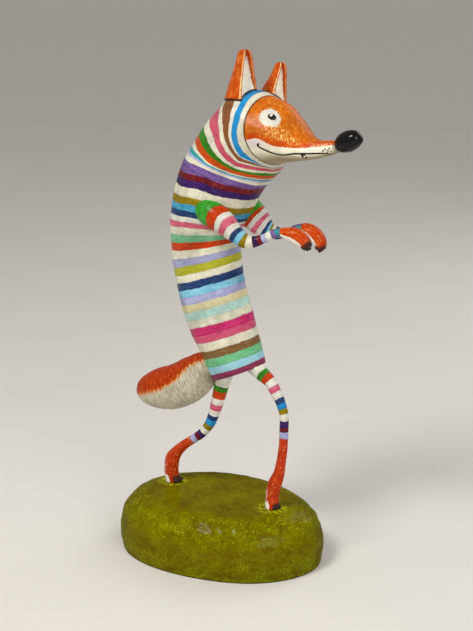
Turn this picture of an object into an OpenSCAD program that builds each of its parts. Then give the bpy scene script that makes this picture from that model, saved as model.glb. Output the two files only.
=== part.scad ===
// Papier-mache fox walking on its hind legs, on an oval mossy mound.
// Frame: the fox faces -Y, +Z is up, its right side is -X, and the origin is
// at the middle of the mound's underside. Every table for the fox gives its
// heights above the top of the mound, and lift() sets the fox on it.

/* [Mound] */
// Length of the mound, front to back
mound_len = 173; // [162:1:184]
// Width of the mound
mound_wid = 124; // [116:1:136]
// Height of the mound, which the soles stand on
mound_h = 47; // [44:1:52]
// Thickness of the plywood board inside the mound
board_t = 6; // [4:0.5:9]

// How far the fox stands forward of the mound's middle
fox_forward = 3; // [0:0.5:6]

/* [Paper] */
// Thickness of the papier-mache skins
skin_t = 2.4; // [1.8:0.1:2.8]
// Clearance between a piece and the piece inside it
fit_gap = 0.2; // [0.15:0.05:0.3]

/* [Wire] */
// Diameter of the leg, arm, tail and neck wires
wire_d = 2.4; // [2:0.2:2.6]
// Depth that the leg wires go into the torso roll
wire_grip = 34; // [20:1:40]

/* [Details] */
// Radius of the glass-bead eyes
eye_r = 3.2; // [3:0.1:3.4]
// Length of the nose along its axis
nose_len = 22; // [19:1:24]
// Radius of the nose at its thickest
nose_r = 7.6; // [7:0.1:8]
// Diameter of the pegs that hold the ears
ear_peg_d = 2; // [1.6:0.2:2.4]
// Thickness of an ear
ear_t = 2; // [1.6:0.1:2.4]
// Length of a claw
claw_len = 2.6; // [2.2:0.2:3.4]

/* [Hidden] */

BODY_SIDES = 28;   // points round the torso and head
LIMB_SIDES = 14;   // points round an arm, leg or paw
TAIL_SIDES = 20;   // points round the tail
WIRE_SIDES = 8;    // points round a bent wire
MOUND_SIDES = 48;  // points round the mound
$fn = 32;

wire_r = wire_d / 2;
bore_r = wire_r + fit_gap;
core_in = skin_t + fit_gap;
hem_t = 2;         // thickness of the card disc in the hem

// ---- outlines: rows run
// [back y, back z, front y, front z, half width, sweep, turn, egg]
// sweep sets the ring's sides back from its plane, turn is degrees about the
// neck axis towards the fox's right, and egg narrows the ring at its back end
TORSO = [
    [  7, 97,  -35.5, 115, 18, 0, 0, 0],
    [ 14.5, 114, -30.5, 131, 20.5, 0, 0, 0],
    [ 27, 137.5, -23, 154.5, 24, 0, 0, 0],
    [ 35, 160, -16.5, 177, 24.5, 0, 0, 0],
    [ 39.5, 185, -13, 200, 25, 0, 0, 0],
    [ 41.8, 206.5, -13.5, 213.5, 26, 0, 0, 0],
    [ 42, 224.5, -17, 221.5, 27, 0, 0, 0],
    [ 39, 241.5, -21, 228.5, 28.5, 0, 0, 0],
    [ 34.5, 260, -28.5, 243, 29.5, 0, 0, 0],
    [ 30, 271.5, -34.5, 252, 30, 0, 0, 0]
];
HOOD = [
    [ 30, 271.5, -34.5, 252, 30, 0, 0, 0],
    [ 23, 282, -42, 259.5, 30, 0, 3, 0],
    [ 15, 294, -46, 263.5, 30, 0.5, 6, 0],
    [ 5, 305.5, -48.5, 267, 30, 1, 9, 0],
    [ -9, 318.5, -50, 269, 29.8, 2, 12, 0],
    [-20, 323, -50.5, 270, 29.4, 3, 13, 0.01],
    [-31, 324, -51, 270.7, 29, 3.5, 14, 0.02],
    [-40, 321, -51.5, 271, 28.5, 4, 15, 0.04]
];
FACE = [
    [-40, 320.3, -51.5, 271.7, 27.8, 4, 15, 0.04],
    [-47, 319, -58, 273.3, 26, 3.5, 15, 0.12],
    [-56.5, 316, -65, 274.7, 23, 2.5, 15, 0.2],
    [-65.5, 308.5, -72, 276, 19.5, 1.5, 15, 0.24],
    [-73, 301.5, -78, 277, 16, 1, 15, 0.24],
    [-80, 295.5, -84, 278.3, 12.5, 0.5, 15, 0.2],
    [-89, 292.7, -91, 280, 9.5, 0, 15, 0.1],
    [-96, 293, -97, 282, 7.5, 0, 15, 0],
    [-104, 293.5, -104, 284.5, 6, 0, 15, 0]
];
neck_y = -20;      // the turn is about this upright line
NOSE_AT = [0, -114.6, 294];
nose_tilt = 22;
EYE_AT = [-14.1, -56.4, 306.7];
TOOTH_AT = [-10, -83.4, 282.4];
tooth_r = 1.1;
tooth_len = 2.4;

// ---- limb centre lines: rows run [x, y, z, radius across, radius fore and aft];
// a foot or paw carries on from the last row of its leg or arm
RIGHT_LEG = [
    [-4, -29.5, 112.2, 6.2, 6.2],
    [-5, -35.5, 108.5, 5.8, 5.8],
    [-6, -43.5, 103, 4.9, 4.9],
    [-6.5, -49.5, 94, 4.3, 4.3],
    [-7, -53.5, 86.5, 3.8, 3.8],
    [-7, -56, 77, 3.6, 3.6],
    [-7, -56, 64, 3.5, 3.5],
    [-7, -55.3, 50, 3.5, 3.6],
    [-7, -53.6, 38, 3.6, 3.9],
    [-7, -52, 29, 4, 4.6]
];
RIGHT_FOOT = [
    [-7, -49, 21, 4.6, 5.6],
    [-7, -46.8, 13, 5, 5.5],
    [-7, -46.4, 6, 5.3, 5.3],
    [-7, -46, 0, 5.6, 4.9]
];
LEFT_LEG = [
    [5, 1.5, 99.6, 7, 7],
    [5.2, 4.2, 90, 6, 6],
    [5.5, 7.5, 77, 5.2, 5.2],
    [6, 11, 66, 4.6, 4.6],
    [6.3, 15.5, 55.5, 4.2, 4.2],
    [6.5, 22, 47, 3.8, 3.8],
    [7, 30, 40.5, 3.6, 3.6],
    [7.5, 38, 34.5, 3.8, 3.8],
    [8, 45.5, 27.5, 4.2, 4.6]
];
LEFT_FOOT = [
    [8, 50.6, 20, 4.8, 6],
    [8, 52.2, 12, 5.2, 6.1],
    [8, 51.8, 5.5, 5.5, 6],
    [8, 51, 0, 5.8, 6.2]
];
RIGHT_ARM = [
    [-19, 6, 237, 8, 8],
    [-24, -1, 235.5, 10.2, 10.2],
    [-26, -9, 231.5, 9.9, 9.9],
    [-25.5, -15.5, 227, 8.8, 8.8],
    [-24, -22, 220.7, 6.8, 6.8],
    [-22, -28, 215.8, 5.8, 5.8],
    [-20.5, -33, 214.4, 4.8, 4.8],
    [-19, -38.5, 215.4, 3.9, 3.9],
    [-18, -44, 217.8, 3.4, 3.4],
    [-16.5, -50, 221, 3.4, 3.4],
    [-15.5, -56, 222.6, 3.5, 3.5]
];
LEFT_ARM = [
    [5.5, -0.4, 236.6, 8.5, 8.5],
    [10, -7.8, 235.6, 11, 11],
    [12, -15.8, 231, 11.2, 11.2],
    [11.5, -22.6, 225.4, 10.4, 10.4],
    [11, -28.4, 220.4, 8.8, 8.8],
    [11.4, -33.4, 217.2, 7, 7],
    [12.6, -38.4, 215.8, 5.5, 5.5],
    [14, -44, 215.6, 3.9, 3.9],
    [14.8, -49.1, 217.1, 3.4, 3.4],
    [15.1, -54.5, 219.6, 3.4, 3.4],
    [15, -60, 221, 3.5, 3.5]
];
RIGHT_PAW = [
    [-15, -60.5, 222.4, 5.2, 4.5],
    [-14.5, -67, 221.2, 6.2, 5.9],
    [-14, -72.7, 217.8, 5.8, 5.6],
    [-14, -76.6, 213.6, 4.4, 3.8]
];
LEFT_PAW = [
    [14.6, -64.5, 220.4, 5.2, 4.6],
    [14.3, -70, 217.2, 6.2, 5.6],
    [14, -74.4, 212, 5.8, 5.3],
    [14, -75.4, 207, 4.4, 4]
];
TAIL = [
    [0, 8.5, 107.8, 8, 9.2],
    [0, 16.5, 104.4, 11.5, 13.4],
    [0, 23.5, 98, 13.8, 16.4],
    [0, 32.5, 90.6, 15.6, 17.8],
    [0, 42.5, 85.2, 16, 18],
    [0, 54, 81.8, 15.4, 17.2],
    [0, 64.5, 79.2, 12.8, 14.2],
    [0, 72.5, 77, 8.8, 9.6],
    [0, 77, 75.4, 3.6, 3.8]
];

// ---- ears: rows run [share of the height, half width of the opening, depth, back, out]
EAR = [
    [0, 8.8, 23, 0, 0],
    [0.26, 7.9, 18.4, 0, 0.5],
    [0.5, 6.6, 14.4, -0.4, 1.2],
    [0.72, 5.3, 11.4, -0.9, 1.8],
    [0.9, 4, 9.8, -1.2, 2.2],
    [0.98, 2.8, 7, -0.6, 2.3],
    [1, 1.8, 4, 0, 2.3]
];
// Each ear runs [x, y, z, height, share of the full width]
RIGHT_EAR = [-10, -31, 313, 41, 1];
LEFT_EAR = [16.5, -39, 309, 34.5, 0.85];
ear_hollow = 0.45;     // depth of an ear's hollow, as a share of the ear's depth
ear_peg_grip = 16;     // how far the pegs go down below the ears

// ---- mound: rows run [share of the full size, share of the height]
MOUND = [
    [0.975, 0], [0.99, 0.14], [1, 0.34], [0.98, 0.57], [0.93, 0.75],
    [0.85, 0.89], [0.76, 0.97], [0.66, 1]
];

// ---- functions
// Smooth row at share t between rows b and c, with a and d as their neighbours
function smooth_row(a, b, c, d, t) =
    0.5 * (2 * b + (c - a) * t + (2 * a - 5 * b + 4 * c - d) * t * t
    + (3 * b - a - 3 * c + d) * t * t * t);

// The same rows with extra smooth ones put in, per to each interval
function smoothed(rows, per) = let (last = len(rows) - 1) concat(
    [for (i = [0 : last - 1]) for (k = [0 : per - 1])
        smooth_row(rows[max(i - 1, 0)], rows[i], rows[i + 1], rows[min(i + 2, last)], k / per)],
    [rows[last]]);

// A point turned about the upright line through the neck
function turned(p, degrees) = [
    p[0] * cos(degrees) + (p[1] - neck_y) * sin(degrees),
    neck_y - p[0] * sin(degrees) + (p[1] - neck_y) * cos(degrees),
    p[2]
];

// Ring of a torso, hood or face row, set inwards by inset
function body_ring(row, inset) =
    let (back = [row[0], row[1]], front = [row[2], row[3]],
         mid = (back + front) / 2, half = (back - front) / 2,
         reach = norm(half), across = [half[1], -half[0]] / reach)
    [for (i = [0 : BODY_SIDES - 1])
        let (a = 360 * i / BODY_SIDES,
             yz = mid + half * (1 - inset / reach) * cos(a) + across * row[5] * pow(sin(a), 2))
        turned([(row[4] - inset) * sin(a) * (1 - row[7] * cos(a)), yz[0], yz[1]], row[6])];

function body_rings(rows, inset) = [for (row = rows) body_ring(row, inset)];

function unit(v) = v / norm(v);

// The x, y and z of a limb's row
function place(row) = [row[0], row[1], row[2]];

// Rows without the first few and the last few
function without_ends(rows, first, last) = [for (i = [first : len(rows) - 1 - last]) rows[i]];

// Direction of a centre line at its row i
function heading(rows, i) =
    let (a = rows[max(i - 1, 0)], b = rows[min(i + 1, len(rows) - 1)])
    unit([b[0] - a[0], b[1] - a[1], b[2] - a[2]]);

// Rings square to a centre line; grow is added to both radii, and a radius
// above 0 makes a round tube of that radius instead
function limb_rings(rows, sides, grow = 0, radius = 0) =
    [for (j = [0 : len(rows) - 1])
        let (row = rows[j], along = heading(rows, j),
             side = unit([1, 0, 0] - along * along[0]), over = cross(side, along),
             ra = radius > 0 ? radius : row[3] + grow,
             rb = radius > 0 ? radius : row[4] + grow)
        [for (i = [0 : sides - 1])
            let (a = 360 * i / sides)
            place(row) + side * ra * cos(a) + over * rb * sin(a)]];

function centre(ring) = [for (k = [0 : 2]) let (v = [for (p = ring) p[k]]) sum(v) / len(v)];
function sum(v, i = 0) = i == len(v) ? 0 : v[i] + sum(v, i + 1);
function flat(rings) = [for (ring = rings) for (p = ring) p];

// Triangles between ring r and the next, for rings of n points that start at
// point first; inside turns them to face the other way
function wall(n, rows, first, inside) =
    [for (r = [0 : rows - 2]) for (i = [0 : n - 1]) for (half = [0, 1])
        let (a = first + r * n + i, b = first + r * n + (i + 1) % n,
             t = half == 0 ? [a, b, b + n] : [a, b + n, a + n])
        inside ? [t[2], t[1], t[0]] : t];

// Triangles from ring r to the centre point numbered c
function lid(n, first, c, inside) =
    [for (i = [0 : n - 1]) let (a = first + i, b = first + (i + 1) % n)
        inside ? [c, a, b] : [c, b, a]];

// Closed solid through a row of rings
module loft(rings) {
    n = len(rings[0]);
    count = len(rings);
    points = concat(flat(rings), [centre(rings[0]), centre(rings[count - 1])]);
    polyhedron(points, concat(
        wall(n, count, 0, false),
        lid(n, 0, n * count, false),
        lid(n, n * (count - 1), n * count + 1, true)));
}

// Shell between outer and inner rings, open at the start; the far end is open
// too, unless closed is true
module shell(outer, inner, closed = false) {
    n = len(outer[0]);
    no = len(outer) * n;
    ni = len(inner) * n;
    points = concat(flat(outer), flat(inner),
        [centre(outer[len(outer) - 1]), centre(inner[len(inner) - 1])]);
    start = [for (i = [0 : n - 1]) for (half = [0, 1])
        let (a = i, b = (i + 1) % n)
        half == 0 ? [no + a, no + b, b] : [no + a, b, a]];
    end = [for (i = [0 : n - 1]) for (half = [0, 1])
        let (a = no - n + i, b = no - n + (i + 1) % n)
        half == 0 ? [b, no + ni - n + (i + 1) % n, no + ni - n + i] : [b, no + ni - n + i, a]];
    polyhedron(points, concat(
        wall(n, len(outer), 0, false),
        wall(n, len(inner), no, true),
        start,
        closed ? lid(n, no - n, no + ni, true) : end,
        closed ? lid(n, no + ni - n, no + ni + 1, false) : []));
}

// Straight round rod between two points
module rod(from, to, r) {
    v = to - from;
    translate(from)
        rotate([0, acos(v[2] / norm(v)), atan2(v[1], v[0])])
        cylinder(r = r, h = norm(v));
}

module lift() {
    translate([0, -fox_forward, mound_h]) children();
}

// ---- mound
function mound_ring(share, height, inset) =
    [for (i = [0 : MOUND_SIDES - 1])
        let (a = -360 * i / MOUND_SIDES, wobble = 1 + 0.012 * sin(3 * a + 40) + 0.008 * cos(5 * a))
        [(mound_wid / 2 * share * wobble - inset) * cos(a),
         (mound_len / 2 * share * wobble - inset) * sin(a),
         height]];

function mound_rings(inset, z_low, z_high) =
    [for (row = MOUND) mound_ring(row[0], z_low + (z_high - z_low) * row[1], inset)];

module leg_bores(z_low, z_high) {
    for (foot = [RIGHT_FOOT, LEFT_FOOT])
        let (sole = foot[len(foot) - 1])
            translate([sole[0], sole[1] - fox_forward, z_low])
                cylinder(r = bore_r, h = z_high - z_low);
}

module base_board() {
    color("burlywood") difference() {
        linear_extrude(board_t) polygon([for (p = mound_ring(0.94, 0, core_in)) [p[0], p[1]]]);
        leg_bores(2, board_t + 1);
    }
}

module mound_core() {
    color("lightgray") difference() {
        loft(mound_rings(core_in + 0.4, 0, mound_h - core_in - 0.2));
        translate([-mound_wid / 2, -mound_len / 2, -1])
            cube([mound_wid, mound_len, board_t + fit_gap + 1]);
        leg_bores(board_t, mound_h);
    }
}

module mound_skin() {
    color("olivedrab") difference() {
        shell(mound_rings(0, 0, mound_h), mound_rings(skin_t, 0, mound_h - skin_t), true);
        leg_bores(mound_h - 6, mound_h + 1);
    }
}

// ---- legs
// A row further up a leg's own line, past its first row by rise
function above_leg(leg, rise) =
    let (up = -heading(leg, 0))
    [for (k = [0 : 4]) leg[0][k] + (k < 3 ? up[k] * rise : 0)];

// Rows of a leg and its foot as one smooth line, which goes on 2 mm below the sole
function leg_line(leg, foot) =
    let (sole = foot[len(foot) - 1])
    concat(smoothed(concat(leg, foot), 2), [sole - [0, 0, 2, 0, 0]]);

// The wire runs from the torso roll straight down to the hem, then along the
// leg, through the foot and down into the board
module leg_wire(leg, foot) {
    sole = foot[len(foot) - 1];
    line = concat([above_leg(leg, wire_grip), above_leg(leg, 4)], leg_line(leg, foot),
        [[sole[0], sole[1], board_t / 2 - mound_h, 0, 0]]);
    color("silver") lift() loft(limb_rings(line, WIRE_SIDES, 0, wire_r));
}

// Tube of paper along a line from row first to row last, with a bore for the wire
module sheath(line, first, last) {
    trim = len(line) - 1 - last;
    shell(without_ends(limb_rings(line, LIMB_SIDES), first, trim),
        without_ends(limb_rings(line, LIMB_SIDES, 0, bore_r), first, trim));
}

// Puts things on the plane of the jumper's hem, with +Z square to it and up
module on_hem() {
    row = TORSO[0];
    translate([0, (row[0] + row[2]) / 2, (row[1] + row[3]) / 2])
        rotate([atan2(row[1] - row[3], row[0] - row[2]), 0, 0])
        children();
}

// A leg's sheath, cut off where it meets the hem
module leg(leg, foot) {
    line = concat([above_leg(leg, 9)], leg_line(leg, foot));
    color("orangered") lift() difference() {
        sheath(line, 0, 2 * len(leg) - 1);
        on_hem() translate([-30, -40, 0]) cube([60, 80, 30]);
    }
}

// A foot's sheath, cut off flat at the sole
module foot(leg, foot) {
    line = leg_line(leg, foot);
    sole = foot[len(foot) - 1];
    color("darkorange") lift() difference() {
        sheath(line, 2 * len(leg) - 2, len(line) - 1);
        translate([sole[0] - 10, sole[1] - 10, -5]) cube([20, 20, 5]);
    }
}

module right_leg_wire() { leg_wire(RIGHT_LEG, RIGHT_FOOT); }
module left_leg_wire() { leg_wire(LEFT_LEG, LEFT_FOOT); }
module right_leg() { leg(RIGHT_LEG, RIGHT_FOOT); }
module left_leg() { leg(LEFT_LEG, LEFT_FOOT); }
module right_foot() { foot(RIGHT_LEG, RIGHT_FOOT); }
module left_foot() { foot(LEFT_LEG, LEFT_FOOT); }

// A claw is a short cone with a blunt tip, along dir from its root
module claw(at, dir) {
    v = unit(dir);
    translate(at) rotate([0, acos(v[2]), atan2(v[1], v[0])])
        rotate_extrude() polygon([[0, 0], [1.7, 0], [1.5, claw_len * 0.45],
            [0.9, claw_len * 0.85], [0, claw_len]]);
}

module foot_claws(foot) {
    sole = foot[len(foot) - 1];
    for (side = [-1, 0, 1])
        lift() claw([sole[0] + side * 3.5, sole[1] - sole[4] - 1 + abs(side) * 1.7, 2.6],
            [side * 0.25, -1, -0.25]);
}

module right_foot_claws() { color("dimgray") foot_claws(RIGHT_FOOT); }
module left_foot_claws() { color("dimgray") foot_claws(LEFT_FOOT); }

// ---- torso
module torso_block(grow) {
    loft(body_rings(smoothed(TORSO, 2), -grow));
}

// Straight bores for every wire that ends in the torso roll
module torso_bores(r) {
    for (leg = [RIGHT_LEG, LEFT_LEG])
        rod(place(above_leg(leg, -6)), place(above_leg(leg, wire_grip + 2)), r);
    for (arm = [RIGHT_ARM, LEFT_ARM])
        rod(arm_root(arm), place(arm[BEND]), r);
    rod(tail_root, tail_tip, r);
    rod(neck_low, neck_top, r);
}

function arm_root(arm) = [sign(arm[1][0]) * 3, 12, arm[1][2] + 1];
tail_root = [0, 4, 114];
tail_tip = [0, 56, 82];
neck_low = [0, 6, 230];
neck_top = [0, -22, 300];

module hem_disc() {
    row = TORSO[0];
    rx = row[4] - core_in - 0.2;
    ry = norm([row[0] - row[2], row[1] - row[3]]) / 2 - core_in - 0.2;
    color("tan") lift() difference() {
        on_hem() linear_extrude(hem_t)
            polygon([for (i = [0 : 47]) [rx * cos(360 * i / 48), ry * sin(360 * i / 48)]]);
        torso_bores(bore_r);
    }
}

module torso_roll() {
    low = smooth_row(TORSO[0], TORSO[0], TORSO[1], TORSO[2], 0.2);
    color("wheat") lift() difference() {
        loft(body_rings(concat([low], without_ends(smoothed(TORSO, 2), 1, 0)), core_in));
        torso_bores(bore_r);
    }
}

module jumper() {
    rows = smoothed(TORSO, 2);
    color("mediumorchid") lift() difference() {
        shell(body_rings(rows, 0), body_rings(rows, skin_t));
        for (arm = [RIGHT_ARM, LEFT_ARM])
            rod(arm_root(arm), place(arm[BEND]), bore_r);
        rod(tail_root, tail_tip, bore_r);
    }
}

// A straight wire, 1 mm short of its bore at both ends
module pin_wire(from, to) {
    along = unit(to - from);
    color("silver") lift() rod(from + along, to - along, wire_r);
}

module neck_wire() { pin_wire(neck_low, neck_top); }

// ---- arms
BEND = 3;          // the arm's row where its straight wire starts to bend

// Rows of an arm and its paw as one smooth line
function arm_line(arm, paw) = smoothed(concat(arm, paw), 2);

// Rows of an arm's wire, straight from the torso roll to the bend and then along
// the arm, leaving out the last rows of the line; start moves its root along it
function arm_wire_line(arm, paw, start, left_out) =
    let (root = arm_root(arm) + unit(place(arm[BEND]) - arm_root(arm)) * start)
    concat([[root[0], root[1], root[2], 0, 0]],
        without_ends(arm_line(arm, paw), 2 * BEND, left_out));

module arm_wire(arm, paw) {
    color("silver") lift()
        loft(limb_rings(arm_wire_line(arm, paw, 1, 2), WIRE_SIDES, 0, wire_r));
}

module sleeve(arm, paw) {
    past_wrist = 2 * len(paw) - 1;
    color("deepskyblue") lift() difference() {
        loft(without_ends(limb_rings(arm_line(arm, paw), LIMB_SIDES), 0, 2 * len(paw)));
        torso_block(fit_gap);
        loft(limb_rings(arm_wire_line(arm, paw, 0, past_wrist), WIRE_SIDES, 0, bore_r));
    }
}

module paw(arm, paw) {
    line = arm_line(arm, paw);
    color("darkorange") lift() sheath(line, 2 * len(arm) - 2, len(line) - 1);
}

module right_arm_wire() { arm_wire(RIGHT_ARM, RIGHT_PAW); }
module left_arm_wire() { arm_wire(LEFT_ARM, LEFT_PAW); }
module right_sleeve() { sleeve(RIGHT_ARM, RIGHT_PAW); }
module left_sleeve() { sleeve(LEFT_ARM, LEFT_PAW); }
module right_paw() { paw(RIGHT_ARM, RIGHT_PAW); }
module left_paw() { paw(LEFT_ARM, LEFT_PAW); }

module paw_claws(paw) {
    tip = paw[len(paw) - 1];
    along = heading(paw, len(paw) - 1);
    for (side = [-1, 0, 1])
        lift() claw([tip[0] + side * 2.6, tip[1], tip[2]] + along * 0.2, along + [side * 0.2, 0, 0]);
}

module right_paw_claws() { color("dimgray") paw_claws(RIGHT_PAW); }
module left_paw_claws() { color("dimgray") paw_claws(LEFT_PAW); }

// ---- tail
module tail_wire() { pin_wire(tail_root, tail_tip); }

module tail_core() {
    color("wheat") lift() difference() {
        loft(limb_rings(without_ends(TAIL, 2, 1), LIMB_SIDES, -core_in - 0.6));
        rod(tail_root, tail_tip, bore_r);
    }
}

module tail_skin() {
    rows = smoothed(TAIL, 2);
    color("darkorange") lift() difference() {
        shell(limb_rings(rows, TAIL_SIDES),
            limb_rings(without_ends(rows, 0, 2), TAIL_SIDES, -skin_t), true);
        torso_block(fit_gap);
    }
}

// ---- head
module head_core() {
    rows = concat(without_ends(smoothed(HOOD, 2), 0, 1), without_ends(smoothed(FACE, 2), 1, 7));
    color("wheat") lift() difference() {
        loft(body_rings(rows, core_in + 0.4));
        rod(neck_low, neck_top, bore_r);
        ear_peg_bores();
        eye_beads(eye_r + 0.1);
    }
}

module hood() {
    rows = smoothed(HOOD, 2);
    color("mediumturquoise") lift() difference() {
        shell(body_rings(rows, 0), body_rings(rows, skin_t));
        ear_peg_bores();
    }
}

module on_head() {
    translate([0, neck_y, 0]) rotate([0, 0, -FACE[0][6]]) translate([0, -neck_y, 0]) children();
}

module face() {
    rows = smoothed(FACE, 2);
    color("darkorange") lift() difference() {
        shell(body_rings(rows, fit_gap / 2), body_rings(without_ends(rows, 0, 2), skin_t), true);
        eye_beads(eye_r + 0.05);
        on_head() translate(TOOTH_AT - [0, 0, tooth_len])
            cylinder(r = tooth_r + 0.05, h = 2 * tooth_len);
    }
}

// Egg-shaped nose, narrower at the back where it meets the muzzle
module nose() {
    half = nose_len / 2;
    color("black") lift() on_head() translate(NOSE_AT) rotate([90 - nose_tilt, 0, 0])
        rotate_extrude() polygon(concat([[0, -half]],
            [for (a = [30 : 15 : 165]) [nose_r * sin(a) * (1 - 0.1 * cos(a)), -half * cos(a)]],
            [[0, half]]));
}

// The beads sit in round sockets, most of each one inside the face
module eye_beads(r, sides = [1, -1]) {
    on_head() for (side = sides)
        translate([side * EYE_AT[0], EYE_AT[1], EYE_AT[2]]) sphere(r = r);
}

module right_eye() { color("black") lift() eye_beads(eye_r, [1]); }
module left_eye() { color("black") lift() eye_beads(eye_r, [-1]); }

module tooth() {
    color("ivory") lift() on_head() translate(TOOTH_AT) rotate([180, 0, 0])
        cylinder(r1 = tooth_r, r2 = 0.3, h = tooth_len);
}

// Height of the hood's top at a point of the head, before the head's turn
function hood_top(x, y) =
    let (crest = lookup(y, [for (i = [len(HOOD) - 1 : -1 : 3]) [HOOD[i][0], HOOD[i][1]]]),
         middle = 294)
    middle + (crest - middle) * sqrt(max(1 - pow(x / 30, 2), 0.04));

// Point p of an ear's section at a row's height. The foot follows the hood, and
// the rings above level out towards the tip
function ear_point(ear, row, p) =
    let (x = ear[0] + p[0] + sign(ear[0]) * row[4] * ear[4], y = ear[1] + p[1] + row[3],
         foot = hood_top(x, y) + 0.4)
    [x, y, foot + row[0] * (ear[2] + ear[3] - foot)];

// Ring of a folded ear: a C-shaped section, open to the front
function ear_ring(ear, row) =
    let (steps = 9, w = row[1] * ear[4], d = row[2] * ear[4], k = max(1 - 0.8 * ear_t / w, 0.2),
         arc = concat(
             [for (i = [0 : steps]) let (a = 180 * i / steps) [w * cos(a), d * sin(a)]],
             [for (i = [0 : steps]) let (a = 180 - 180 * i / steps)
                 [w * k * cos(a), 0.6 + d * ear_hollow * sin(a)]]))
    [for (p = arc) ear_point(ear, row, p)];

// Middle of an ear's back wall at a row
function ear_wall(ear, row) =
    ear_point(ear, row, [0, row[2] * ear[4] * (1 + ear_hollow) / 2]);

// Peg from the head core up through the hood into an ear's back wall, longer by
// extra at both ends
module ear_peg(ear, r, extra) {
    foot = ear_wall(ear, EAR[0]);
    top = ear_wall(ear, EAR[1]);
    along = unit(top - foot);
    on_head() rod(foot - along * (ear_peg_grip + extra), top + along * (extra - 1), r);
}

module ear_peg_bores() {
    for (ear = [RIGHT_EAR, LEFT_EAR]) ear_peg(ear, ear_peg_d / 2 + 0.1, 1);
}

module ear(ear) {
    color("darkorange") lift() difference() {
        on_head() loft([for (row = EAR) ear_ring(ear, row)]);
        ear_peg_bores();
    }
}

module right_ear() { ear(RIGHT_EAR); }
module left_ear() { ear(LEFT_EAR); }
module right_ear_peg() { color("peru") lift() ear_peg(RIGHT_EAR, ear_peg_d / 2, 0); }
module left_ear_peg() { color("peru") lift() ear_peg(LEFT_EAR, ear_peg_d / 2, 0); }

base_board();
mound_core();
mound_skin();
right_leg_wire();
left_leg_wire();
right_leg();
left_leg();
right_foot();
left_foot();
right_foot_claws();
left_foot_claws();
hem_disc();
torso_roll();
jumper();
neck_wire();
right_arm_wire();
left_arm_wire();
right_sleeve();
left_sleeve();
right_paw();
left_paw();
right_paw_claws();
left_paw_claws();
tail_wire();
tail_core();
tail_skin();
head_core();
hood();
face();
nose();
right_eye();
left_eye();
tooth();
right_ear();
left_ear();
right_ear_peg();
left_ear_peg();
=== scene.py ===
"""Papier-mache fox in a painted striped jumper, walking upright on a mossy mound.

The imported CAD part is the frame. Each skin that shows is lofted here over its CAD
node, from the same outline rows as the part, and gets the dents, pasted strips and
paint of hand-made papier-mache. Rows and sizes are in millimetres, and MM turns them
into metres. The fox's rows give heights above the top of the mound.
"""
import math

import bmesh
import bpy
import numpy as np
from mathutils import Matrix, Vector, noise


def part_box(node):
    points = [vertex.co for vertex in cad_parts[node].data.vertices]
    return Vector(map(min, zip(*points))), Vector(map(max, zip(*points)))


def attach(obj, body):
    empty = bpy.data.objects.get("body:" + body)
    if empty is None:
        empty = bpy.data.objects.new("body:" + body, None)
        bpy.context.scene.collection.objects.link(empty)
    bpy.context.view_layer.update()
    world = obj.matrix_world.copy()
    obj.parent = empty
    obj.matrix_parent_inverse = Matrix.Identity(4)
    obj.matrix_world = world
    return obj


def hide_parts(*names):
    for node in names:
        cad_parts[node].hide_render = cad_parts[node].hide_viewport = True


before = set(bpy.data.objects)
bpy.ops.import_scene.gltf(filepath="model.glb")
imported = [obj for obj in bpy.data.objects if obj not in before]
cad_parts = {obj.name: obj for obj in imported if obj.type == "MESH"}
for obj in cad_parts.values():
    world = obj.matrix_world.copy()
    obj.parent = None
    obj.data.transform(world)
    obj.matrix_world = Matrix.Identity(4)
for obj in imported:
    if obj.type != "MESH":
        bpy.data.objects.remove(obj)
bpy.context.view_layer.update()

MM = 0.001
MOUND_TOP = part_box("mound_skin")[1].z / MM
FORWARD = 3          # how far the fox stands forward of the mound's middle
NECK_Y = -20         # the head turns about this upright line
HEAD_TURN = 15       # degrees
RING = 2 * math.pi

# ---- outline rows: back y, back z, front y, front z, half width, sweep, turn, egg
TORSO = [
    (7, 97, -35.5, 115, 18, 0, 0, 0),
    (14.5, 114, -30.5, 131, 20.5, 0, 0, 0),
    (27, 137.5, -23, 154.5, 24, 0, 0, 0),
    (35, 160, -16.5, 177, 24.5, 0, 0, 0),
    (39.5, 185, -13, 200, 25, 0, 0, 0),
    (41.8, 206.5, -13.5, 213.5, 26, 0, 0, 0),
    (42, 224.5, -17, 221.5, 27, 0, 0, 0),
    (39, 241.5, -21, 228.5, 28.5, 0, 0, 0),
    (34.5, 260, -28.5, 243, 29.5, 0, 0, 0),
    (30, 271.5, -34.5, 252, 30, 0, 0, 0),
]
HOOD = [
    (30, 271.5, -34.5, 252, 30, 0, 0, 0),
    (23, 282, -42, 259.5, 30, 0, 3, 0),
    (15, 294, -46, 263.5, 30, 0.5, 6, 0),
    (5, 305.5, -48.5, 267, 30, 1, 9, 0),
    (-9, 318.5, -50, 269, 29.8, 2, 12, 0),
    (-20, 323, -50.5, 270, 29.4, 3, 13, 0.01),
    (-31, 324, -51, 270.7, 29, 3.5, 14, 0.02),
    (-40, 321, -51.5, 271, 28.5, 4, 15, 0.04),
]
FACE = [
    (-40, 320.8, -51.5, 271.2, 28.3, 4, 15, 0.04),
    (-47, 319, -58, 273.3, 26, 3.5, 15, 0.12),
    (-56.5, 316, -65, 274.7, 23, 2.5, 15, 0.2),
    (-65.5, 308.5, -72, 276, 19.5, 1.5, 15, 0.24),
    (-73, 301.5, -78, 277, 16, 1, 15, 0.24),
    (-80, 295.5, -84, 278.3, 12.5, 0.5, 15, 0.2),
    (-89, 292.7, -91, 280, 9.5, 0, 15, 0.1),
    (-96, 293, -97, 282, 7.5, 0, 15, 0),
    (-104, 293.5, -104, 284.5, 6, 0, 15, 0),
]

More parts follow.
